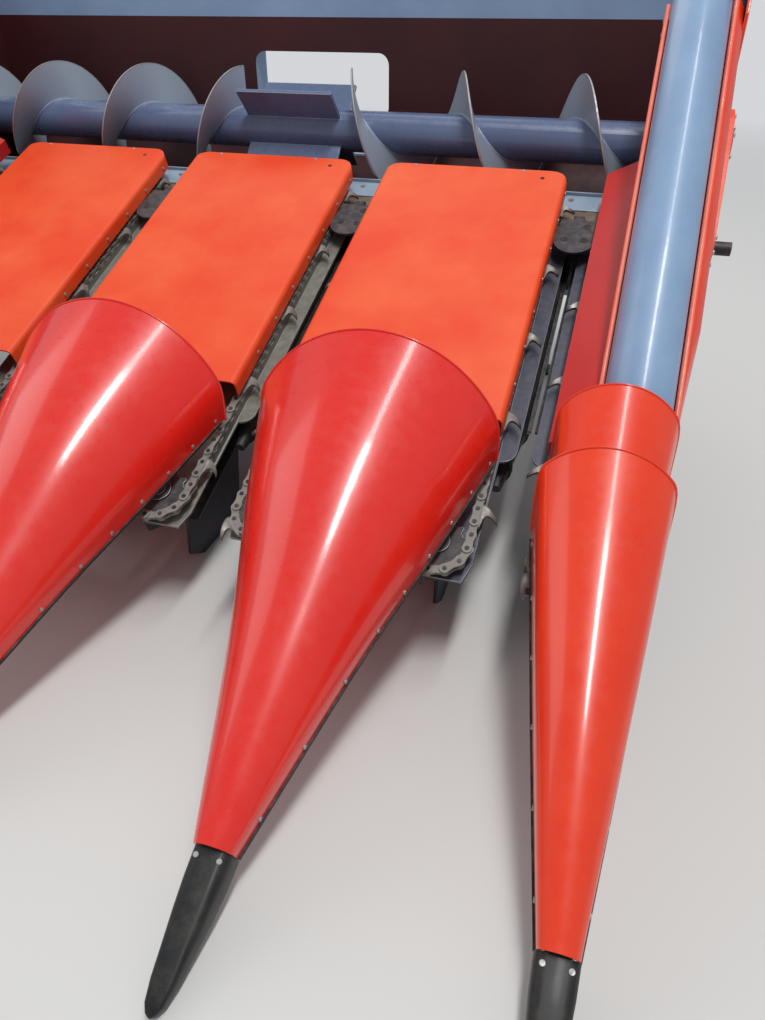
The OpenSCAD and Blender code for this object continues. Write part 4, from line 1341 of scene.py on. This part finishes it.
@dataclass
class RowUnit:
    """One row's frame, deck plates, gathering chains and stalk rolls."""

    shop: Workshop
    number: int
    links: int = 80
    lugs: int = 10
    chain_run: float = 1065
    chain_r: float = 60
    chain_n: float = -66
    chain_h: float = 16
    wheel_x: float = 120
    wheel_v: float = -110
    deck_top: float = 85
    cover_vs: tuple[float, float] = (-142, -48)
    cover_ns: tuple[float, float] = (-86, -80)
    hub_r: float = 26
    post_r: float = 15
    first_lugs: tuple[float, float] = (0.3, 0.8)
    holes: tuple[tuple[float, float], ...] = ((-24, -232), (24, -232), (26, -176))

    @property
    def x(self) -> float:
        """The row's middle."""
        return self.shop.row_xs[self.number - 1]

    @property
    def pitch(self) -> float:
        """Distance between two chain pins."""
        return (2 * self.chain_run + 2 * math.pi * self.chain_r) / self.links

    def build(self, links: dict[str, bpy.types.Object]) -> None:
        """Builds the row.

        Args:
            links: the chain's repeated shapes by name.
        """
        shop, finishes = self.shop, self.shop.finishes
        row = f"row_{self.number}"
        shop.dress_node(f"{row}_frame", "header", [finishes.casting, finishes.rusty, finishes.deck],
                        zone=self.on_cover)
        # The last row's decks take the darker, bluer steel as painted shade; the other rows' take the pale
        # dusty steel
        deck = finishes.deck if self.number == 4 else finishes.dusty_deck
        shop.dress_node(f"{row}_deck", "header", [deck, finishes.zinc], bevel=0.8)
        for side in Side:
            node = f"{row}_roll_{side.word}"
            shop.dress_node(node, f"roll_{self.number}_{side.word}", [finishes.roll, finishes.zinc],
                            bevel=0.8)
        self.build_chains(links)
        self.build_holes()

    def on_cover(self, spot: Vector, normal: Vector) -> int:
        """Whether a face of the frame belongs to the rusty cover plate."""
        (front, rear), (low, high) = self.cover_vs, self.cover_ns
        return int(front < spot.y < rear and low < spot.z < high)

    def build_chains(self, links: dict[str, bpy.types.Object]) -> None:
        """Lays both chains round their wheels.

        Args:
            links: the chain's repeated shapes by name.
        """
        shop, finishes = self.shop, self.shop.finishes
        node = f"row_{self.number}_chains"
        whole = bmesh.new()
        middle = self.chain_n + self.chain_h / 2
        for side in Side:
            base = bpy.data.curves.new(f"{node}_{side.word}_loop", "CURVE")
            base.dimensions = "3D"
            spline = base.splines.new("POLY")
            loop = self.loop(self.first_lugs[side is Side.RIGHT])
            spline.points.add(len(loop) - 1)
            for point, (a, b) in zip(spline.points, loop):
                point.co = (a * MM, b * MM, 0, 1)
            spline.use_cyclic_u = True
            mesh = shop.chains.run(base, node, {
                "Links": self.links, "Spacing": self.links // self.lugs,
                "Outer": links["outer"], "Inner": links["inner"], "Hook": links["hook"],
                "Plate": finishes.chain, "Pin": finishes.pin, "Horn": finishes.lug})
            place = Matrix.Translation((self.x, self.wheel_v, middle))
            place = place @ Matrix.Diagonal((side.value, 1, 1, 1)) @ Matrix.Translation((self.wheel_x, 0, 0))
            place = place @ Matrix.Scale(1 / MM, 4)
            mesh.transform(shop.slope.matrix @ place)
            if side is Side.LEFT:
                mesh.flip_normals()
            whole.from_mesh(mesh)
        mesh = bpy.data.meshes.new(node + "_links")
        whole.to_mesh(mesh)
        whole.free()
        piece = finished(mesh, node + "_links", [finishes.chain, finishes.pin, finishes.lug], SHARP, 0.0)
        shop.show(piece, "header", node, node)
        self.build_wheels()

    def loop(self, share: float) -> Outline:
        """The chain's centre line about its rear wheel: down the outer run, round, and back up.

        Args:
            share: where the first lug stands on the outer run, as a share of the distance between lugs.

        Returns:
            The line, from that lug on.
        """
        start = share * self.pitch * self.links / self.lugs
        front = arc(0, -self.chain_run, self.chain_r, 0, -180, 24)
        rear = arc(0, 0, self.chain_r, 180, 0, 24)
        return [(self.chain_r, -start), *front, *rear]

    def build_wheels(self) -> None:
        """Builds the toothed chain wheels with their hubs, posts and nuts."""
        shop = self.shop
        work = Sheetwork(f"row_{self.number}_chain_wheels")
        teeth = round(2 * math.pi * self.chain_r / self.pitch)
        root, tip = self.chain_r - 9, self.chain_r + 1
        middle = self.chain_n + self.chain_h / 2
        tooth = ((0.0, root), (0.18, root), (0.38, tip - 2), (0.5, tip), (0.62, tip - 2), (0.82, root))
        spots = []
        for side in Side:
            for v in (self.wheel_v, self.wheel_v - self.chain_run):
                x = self.x + side.value * self.wheel_x
                turns = [(2 * math.pi * (k + share) / teeth, r) for k in range(teeth) for share, r in tooth]
                work.prism([(x + r * math.cos(a), v + r * math.sin(a)) for a, r in turns],
                           middle - 3, middle + 3)
                work.prism(circle(x, v, self.hub_r), middle - 8, middle + 9)
                work.prism(circle(x, v, self.post_r), -self.deck_top, middle + 12)
                spots.append(shop.on_slope(x, v, middle + 12, (0, 0, 1)))
        piece = work.make([shop.finishes.casting, shop.finishes.zinc], shop.slope.matrix, bevel=1.0)
        shop.show(piece, "header", f"row_{self.number}_chains")
        shop.fasten(f"row_{self.number}_wheel_nuts", "header", f"row_{self.number}_chains", spots, Head.HEX)

    def build_holes(self) -> None:
        """Rings the holes in the scraper and bolts the cover plate behind it."""
        shop, finishes = self.shop, self.shop.finishes
        node = f"row_{self.number}_frame"
        spots = [shop.on_slope(self.x + dx, -94, -81, (0, 0, 1)) for dx in (-66, 66)]
        shop.fasten(f"row_{self.number}_cover_bolts", "header", node, spots, Head.HEX)
        work = Sheetwork(f"row_{self.number}_scraper_holes")
        for dx, v in self.holes:
            work.turned(self.x + dx, v, [(9.5, -40.5), (9.5, -39.2), (7.5, -39.2), (7.0, -39.8)])
        shop.show(work.make([finishes.rubber], shop.slope.matrix), "header", node)


@dataclass
class ChainShapes:
    """The shapes that repeat along a gathering chain, in metres about a link's middle."""

    shop: Workshop
    pitch: float
    width: float = 22
    height: float = 16
    reach: float = 32
    outer_plate: float = 3
    inner_plate: float = 2.8
    head_r: float = 4.6
    roller_r: float = 7.5

    def build(self) -> dict[str, bpy.types.Object]:
        """Makes the outer link, the inner link and the hooked lug.

        Returns:
            The shapes by name.
        """
        finishes = self.shop.finishes
        place = Matrix.Scale(MM, 4)
        made = {}
        for name, work in (("outer", self.outer()), ("inner", self.inner()), ("hook", self.hook())):
            made[name] = work.make([finishes.chain, finishes.pin, finishes.lug], place)
            self.shop.templates.append(made[name])
        return made

    def plate(self) -> Outline:
        """The waisted outline of a link plate.

        Returns:
            Its points about the link's middle.
        """
        half, r, waist = self.pitch / 2, self.width / 2 - 0.6, self.width / 2 - 3.6
        right = arc(half, 0, r, -118, 118, 9)
        left = arc(-half, 0, r, 62, 298, 9)
        return [*right, (0, waist), *left, (0, -waist)]

    def outer(self) -> Sheetwork:
        """Two outer plates with the heads of both pins.

        Returns:
            The link's faces.
        """
        work = Sheetwork("chain_outer_link")
        top = self.height / 2 - 1.5
        for s in (-1, 1):
            work.prism(self.plate(), s * top, s * (top - self.outer_plate))
            for x in (-self.pitch / 2, self.pitch / 2):
                work.prism(circle(x, 0, self.head_r, 10), s * top, s * (top + 1.4), finish=1)
        return work

    def inner(self) -> Sheetwork:
        """Two inner plates with their rollers.

        Returns:
            The link's faces.
        """
        work = Sheetwork("chain_inner_link")
        top = self.height / 2 - 4.7
        for s in (-1, 1):
            work.prism(self.plate(), s * top, s * (top - self.inner_plate))
        for x in (-self.pitch / 2, self.pitch / 2):
            end = top - self.inner_plate
            work.prism(circle(x, 0, self.roller_r, 12), -end, end, finish=1)
        return work

    def hook(self) -> Sheetwork:
        """A forged horn on the chain's outer side: it bulges in the travel's direction and its tip trails.

        Returns:
            The lug's faces.
        """
        work = Sheetwork("chain_hooked_lug")
        root = self.width / 2 - 3
        rise = self.width / 2 + self.reach - root
        # Share of the reach, then the leading and the trailing side
        spine = [(0.0, 26, -27), (0.1, 26, -25), (0.16, 25, -8), (0.28, 23, 1), (0.42, 20, 3), (0.58, 15, 1),
                 (0.75, 8, -4), (0.89, 0, -9), (0.97, -6, -13), (1.0, -11, -15)]
        low, high = -1.5, self.height / 2 - 0.5
        sections = []
        for share, ahead, behind in spine:
            y = root + rise * share
            crown = high + 2.4 * math.sin(math.pi * min(1.0, share + 0.25))
            ridge = ahead - min(5.0, (ahead - behind) / 3)
            sections.append([(behind, y, low), (ahead, y, low), (ahead, y, crown - 2.5), (ridge, y, crown),
                             (behind, y, crown - 4)])
        work.loft(sections, closed=True, caps=True, finish=2)
        return work


# Auger, trough and frame


@dataclass
class Conveyor:
    """The cross auger with its trough, sheets, side plates and drives."""

    shop: Workshop
    tube_r: float = 57.5
    flight_r: float = 168
    pitch: float = 335
    half: float = 1182
    feed_half: float = 172
    thickness: float = 6
    steps: int = 360
    end_clear: float = 12
    worn_share: float = 0.965
    bead_r: float = 2.6
    bead_steps: int = 120
    tube_up: float = 333
    case_x: float = 1240
    case_r: float = 95
    shaft_v: float = -70
    shaft_n: float = -147
    cover_out: float = 2.5
    cap_out: float = 9
    cap_r: float = 52
    strip_half: float = 120

    def build(self) -> None:
        """Builds the auger and dresses what surrounds it."""
        shop, finishes = self.shop, self.shop.finishes
        shop.dress_node("auger_tube", "auger", [finishes.auger_blue, finishes.pale_grey])
        self.build_flights()
        shop.dress_node("auger_trough", "header", [finishes.dark_red, finishes.pale_grey])
        tube_z = (shop.slope.edge_z + self.tube_up) * MM
        # Below the top tube the rear sheet takes the near-black red as painted shade
        shop.dress_node("back_sheet", "header", [finishes.dark_red, finishes.blue_grey, finishes.dark_red],
                        zone=lambda spot, normal: int((shop.slope.matrix @ spot).z > tube_z), cut_z=tube_z)
        shop.dress_node("cross_shaft", "header", [finishes.roll, finishes.zinc])
        for side in Side:
            reds = [finishes.end_red, finishes.dark_red, finishes.rim_red]
            # The side plates' inward faces take the near-black red as painted shade
            shop.dress_node(f"side_plate_{side.word}", "header", reds,
                            zone=lambda spot, normal: int(side.value * normal.x < -0.5))
            shop.dress_node(f"drive_case_{side.word}", "header", [finishes.hood_red, finishes.rim_red],
                            bevel=3)
            self.build_cover(side)
        self.build_lips()

    def build_flights(self) -> None:
        """Winds both flights from the ends towards the feeder."""
        shop, finishes = self.shop, self.shop.finishes
        turns = (self.half - self.feed_half - self.end_clear) / self.pitch
        # Share of the reach from tube to rim and share of the thickness, with a chamfered rim
        section = ((0, 0), (0.97, 0), (1, 0.15), (1, 0.85), (0.97, 1), (0, 1))
        flat = Sheetwork("flight_strip")
        strip = [[(k / self.steps, y, z) for y, z in section] for k in range(self.steps + 1)]
        flat.loft(strip, closed=True, caps=True)
        both = bmesh.new()
        axis_v = (shop.slope.edge_y + shop.slope.auger_back) * MM
        axis_n = (shop.slope.edge_z + shop.slope.auger_up) * MM
        for side in Side:
            base = bpy.data.meshes.new(f"flight_{side.word}_flat")
            flat.bm.to_mesh(base)
            mesh = shop.flights.run(base, f"flight_{side.word}", {
                "Start": self.feed_half * MM, "Pitch": self.pitch * MM, "Turns": turns,
                "Inner": (self.tube_r + 0.1) * MM, "Outer": self.flight_r * MM, "Thick": self.thickness * MM,
                "Finish": finishes.flight})
            mesh.transform(Matrix.Translation((0, axis_v, axis_n)) @ Matrix.Diagonal((side.value, 1, 1, 1)))
            both.from_mesh(mesh)
        flat.bm.free()
        bmesh.ops.recalc_face_normals(both, faces=both.faces)
        worn = (self.worn_share * self.flight_r * MM) ** 2
        for face in both.faces:
            spot = face.calc_center_median()
            face.material_index = int((spot.y - axis_v) ** 2 + (spot.z - axis_n) ** 2 > worn)
        mesh = bpy.data.meshes.new("auger_flights_wound")
        both.to_mesh(mesh)
        both.free()
        piece = finished(mesh, "auger_flights_wound", [finishes.flight, finishes.zinc],
                         math.radians(50), 0.0)
        shop.show(piece, "auger", "auger_flights", "auger_flights")
        self.build_flight_welds(turns, Matrix.Translation((0, axis_v, axis_n)) @ Matrix.Scale(MM, 4))

    def build_flight_welds(self, turns: float, place: Matrix) -> None:
        """Runs a weld bead along both faces of each flight, where it meets the tube.

        Args:
            turns: how often a flight winds round the tube.
            place: from millimetres about the auger's axis to the frame.
        """
        work = Sheetwork("auger_flight_welds")
        r = self.tube_r + 1
        for side in Side:
            for off in (-1, self.thickness + 1):
                line = []
                for k in range(1, self.bead_steps):
                    wound = turns * k / self.bead_steps
                    a = 2 * math.pi * wound
                    x = self.feed_half + wound * self.pitch + off
                    line.append((side.value * x, -r * math.sin(a), r * math.cos(a)))
                work.sweep(line, self.bead_r, 6)
        self.shop.show(work.make([self.shop.finishes.flight], place), "auger", "auger_flights")

    def build_cover(self, side: Side) -> None:
        """Bolts a cover on the outside of a chain case and caps the auger's bearing.

        Args:
            side: left or right.
        """
        shop, finishes = self.shop, self.shop.finishes
        node = f"drive_case_{side.word}"
        face = side.value * self.case_x
        rear = shop.slope.level(shop.slope.auger_back, shop.slope.auger_up)
        front = (self.shaft_v, self.shaft_n)
        heading = math.degrees(math.atan2(front[1] - rear[1], front[0] - rear[0]))

        def round_both(inset: float, steps: int) -> Outline:
            """The case's outline, drawn in by an inset."""
            return (arc(*rear, self.case_r - inset, heading - 90, heading - 270, steps)
                    + arc(*front, self.case_r * 0.7 - inset, heading + 90, heading - 90, steps))

        work = Sheetwork(f"{node}_cover")
        cover, cap = face + side.value * self.cover_out, face + side.value * self.cap_out
        work.prism(round_both(7, 20), face, cover, "X")
        work.prism(circle(*rear, self.cap_r), face, cap, "X", finish=1)
        piece = work.make([finishes.hood_red, finishes.casting, finishes.rim_red], shop.slope.matrix,
                          bevel=1.2)
        shop.show(piece, "header", node)
        out = (side.value, 0, 0)
        spots = [shop.on_slope(cover, v, n, out) for v, n in round_both(17, 4)]
        spots += [shop.on_slope(cap, v, n, out) for v, n in circle(*rear, self.cap_r - 14, 4)]
        shop.fasten(f"{node}_bolts", "header", node, spots, Head.HEX)

    def build_lips(self) -> None:
        """Builds the bolted strip along the trough's front edge in each gap between the hoods."""
        shop = self.shop
        work = Sheetwork("trough_front_strips")
        spots = []
        for x in shop.row_xs:
            left, right = x - self.strip_half, x + self.strip_half
            work.box((left, -42, -86), (right, 30, -83))
            work.box((left, 26, -83), (right, 30, -74))
            spots += [shop.on_slope(x + dx, 4, -83, (0, 0, 1)) for dx in (-38, 70)]
        piece = work.make([shop.finishes.pale_grey, shop.finishes.zinc], shop.slope.matrix, bevel=0.8)
        shop.show(piece, "header", "auger_trough")
        shop.fasten("trough_strip_bolts", "header", "auger_trough", spots, Head.HEX)


@dataclass
class Carrier:
    """The rear frame and the parking stands."""

    shop: Workshop
    tube: float = 80
    upright_xs: tuple[float, ...] = (267, 1090)
    # Top of the low tube and underside of the top tube, above the hoods' rear edge
    joint_ups: tuple[float, ...] = (-95, 333)
    front_y: float = 401

    def build(self) -> None:
        """Dresses the frame and both stands."""
        finishes = self.shop.finishes
        self.shop.dress_node("main_frame", "header", [finishes.blue_grey, finishes.pale_grey], bevel=3)
        for side in Side:
            node = f"stand_{side.word}"
            self.shop.dress_node(node, node, [finishes.black, finishes.black], bevel=2)
        self.build_welds()
        self.build_plate_bolts()
        self.build_sheet_screws()

    def build_sheet_screws(self) -> None:
        """Screws the rear sheet along the top tube and down the uprights."""
        shop = self.shop
        inner, outer = (x + away * (self.tube / 2 + 18) for x, away in zip(self.upright_xs, (1, -1)))
        top = self.joint_ups[1] - 18
        places = [(inner + (outer - inner) * k / 7, top) for k in range(8)]
        places += [(x, top - 65 * k) for x in (inner, outer) for k in (1, 2, 3)]
        spots = []
        for x, up in places:
            v, n = shop.slope.level(self.front_y, up)
            for side in Side:
                spots.append(Placed(shop.slope.at(side.value * x, v, n), Vector((0, 1, 0))))
        shop.fasten("back_sheet_screws", "header", "back_sheet", spots, Head.PAN)

    def build_plate_bolts(self) -> None:
        """Bolts each side plate to the ends of both tubes."""
        shop = self.shop
        for side in Side:
            node = f"side_plate_{side.word}"
            low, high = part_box(node)
            face = max(abs(low.x), abs(high.x)) / MM
            spots = []
            for up in (self.joint_ups[0] - self.tube / 2, self.joint_ups[1] + self.tube / 2):
                for dy, dz in ((-22, -22), (22, -22), (22, 22), (-22, 22)):
                    v, n = shop.slope.level(self.front_y + self.tube / 2 + dy, up + dz)
                    spots.append(shop.on_slope(side.value * face, v, n, (side.value, 0, 0)))
            shop.fasten(f"{node}_bolts", "header", node, spots, Head.HEX)

    def build_welds(self) -> None:
        """Runs a weld bead along both sides of each joint between an upright and a tube."""
        shop = self.shop
        work = Sheetwork("main_frame_welds")
        for up in self.joint_ups:
            inward = 1 if up < 0 else -1
            for x in self.upright_xs:
                for sx, away in ((s, a) for s in (-1, 1) for a in (-1, 1)):
                    line = [(sx * x + away * (self.tube / 2 + 1), self.front_y + 3 + k * 5, up + inward * 1)
                            for k in range(16)]
                    work.sweep(line, 3.6, 8)
        place = Matrix.Translation((0, shop.slope.edge_y * MM, shop.slope.edge_z * MM)) @ Matrix.Scale(MM, 4)
        shop.show(work.make([shop.finishes.blue_grey], place), "header", "main_frame")


# Studio


@dataclass(frozen=True)
class Studio:
    """Pale floor, soft lights and the camera at the photograph's viewing angle."""

    camera_at: Point = (1.03613, -1.53133, 1.13878)
    camera_turn: Point = (56.143, 0.0, 17.515)
    lens: float = 27.035
    sensor: float = 36
    aim_z: float = 0.5
    sky: str = "#eceef2"
    sky_light: float = 0.43
    backdrop: float = 0.78
    floor: str = "#d9d9d6"
    floor_reach: float = 30
    fade: tuple[float, float] = (3.2, 9.0)

    def build(self) -> None:
        """Sets the camera, lights, world and floor."""
        scene = bpy.context.scene
        scene.view_settings.view_transform = "Standard"
        lens = bpy.data.cameras.new("camera")
        lens.lens = self.lens
        lens.sensor_width = self.sensor
        camera = bpy.data.objects.new("camera", lens)
        camera.location = self.camera_at
        camera.rotation_euler = [math.radians(a) for a in self.camera_turn]
        scene.collection.objects.link(camera)
        scene.camera = camera
        self.light("key_softbox", (2.0, -2.1, 8.2), 330, 0.9, 3.2)
        self.light("top_softbox", (2.0, 1.3, 8.3), 95, 0.5, 3.4)
        self.light("left_softbox", (-4.6, -0.6, 3.6), 45, 3.4, 3.4)
        self.light("rear_softbox", (-1.5, 5.0, 4.6), 50, 3.6, 3.6)
        self.build_world()
        self.build_floor()

    def light(self, name: str, spot: Point, power: float, width: float, length: float) -> None:
        """Adds a softbox that faces the header.

        Args:
            name: the lamp's name.
            spot: its place.
            power: in watts.
            width: its size across the header.
            length: its size along the header.
        """
        lamp = bpy.data.lights.new(name, "AREA")
        lamp.shape = "RECTANGLE"
        lamp.energy = power
        lamp.size = width
        lamp.size_y = length
        holder = bpy.data.objects.new(name, lamp)
        holder.location = spot
        away = (Vector(spot) - Vector((0, 0, self.aim_z))).normalized()
        across = Vector((0, 1, 0)).cross(away).normalized()
        holder.rotation_euler = Matrix((across, away.cross(across), away)).transposed().to_euler()
        bpy.context.scene.collection.objects.link(holder)

    def build_world(self) -> None:
        """Builds an even pale sky that lights less than it shows."""
        world = bpy.data.worlds.new("pale_sky")
        world.use_nodes = True
        tree = world.node_tree
        tree.nodes.clear()
        light, backdrop = (add_node(tree, "ShaderNodeBackground", {"Color": linear(self.sky), "Strength": s})
                           for s in (self.sky_light, self.backdrop))
        path = add_node(tree, "ShaderNodeLightPath")
        seen: Any = 0.0
        for kind in ("Is Camera Ray", "Is Transmission Ray"):
            seen = add_node(tree, "ShaderNodeMath", {0: seen, 1: path.outputs[kind]},
                            operation="MAXIMUM").outputs["Value"]
        sky = add_node(tree, "ShaderNodeMixShader",
                       {0: seen, 1: light.outputs["Background"], 2: backdrop.outputs["Background"]})
        add_node(tree, "ShaderNodeOutputWorld", {"Surface": sky.outputs["Shader"]})
        bpy.context.scene.world = world

    def build_floor(self) -> None:
        """Lays a wide plain floor that fades out far away and can be looked through from below."""
        mesh = bpy.data.meshes.new("studio_floor")
        reach = self.floor_reach
        mesh.from_pydata([(-reach, -reach, 0), (reach, -reach, 0), (reach, reach, 0), (-reach, reach, 0)], [],
                         [(0, 1, 2, 3)])
        material, tree = start_material("pale_studio_floor")
        skin = add_node(tree, "ShaderNodeBsdfPrincipled",
                        {"Base Color": linear(self.floor), "Roughness": 0.9})
        away = add_node(tree, "ShaderNodeVectorMath",
                        {0: add_node(tree, "ShaderNodeTexCoord").outputs["Object"]}, operation="LENGTH")
        far = add_node(tree, "ShaderNodeMapRange",
                       {"Value": away.outputs["Value"], "From Min": self.fade[0], "From Max": self.fade[1]})
        hidden = add_node(tree, "ShaderNodeMath",
                          {0: far.outputs["Result"],
                           1: add_node(tree, "ShaderNodeNewGeometry").outputs["Backfacing"]},
                          operation="MAXIMUM")
        clear = add_node(tree, "ShaderNodeBsdfTransparent")
        shown = add_node(tree, "ShaderNodeMixShader",
                         {0: hidden.outputs["Value"], 1: skin.outputs["BSDF"], 2: clear.outputs["BSDF"]})
        add_node(tree, "ShaderNodeOutputMaterial", {"Surface": shown.outputs["Shader"]})
        mesh.materials.append(material)
        floor = bpy.data.objects.new("studio_floor", mesh)
        bpy.context.scene.collection.objects.link(floor)


def main() -> None:
    """Loads the frame, builds each sub-assembly around it and finishes the scene."""
    logging.basicConfig(level=logging.INFO, format="%(message)s")
    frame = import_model()
    Studio().build()
    shop = Workshop(frame, Slope.from_joints(frame["joints"]), Finishes())
    shop.make_heads()
    Carrier(shop).build()
    Conveyor(shop).build()
    rows = [RowUnit(shop, number) for number in range(1, 5)]
    links = ChainShapes(shop, rows[0].pitch).build()
    for row in rows:
        row.build(links)
    Hoods(shop).build()
    for number in range(1, 6):
        Divider(shop, number).build()
    shop.clear_templates()


if __name__ == "__main__":
    main()
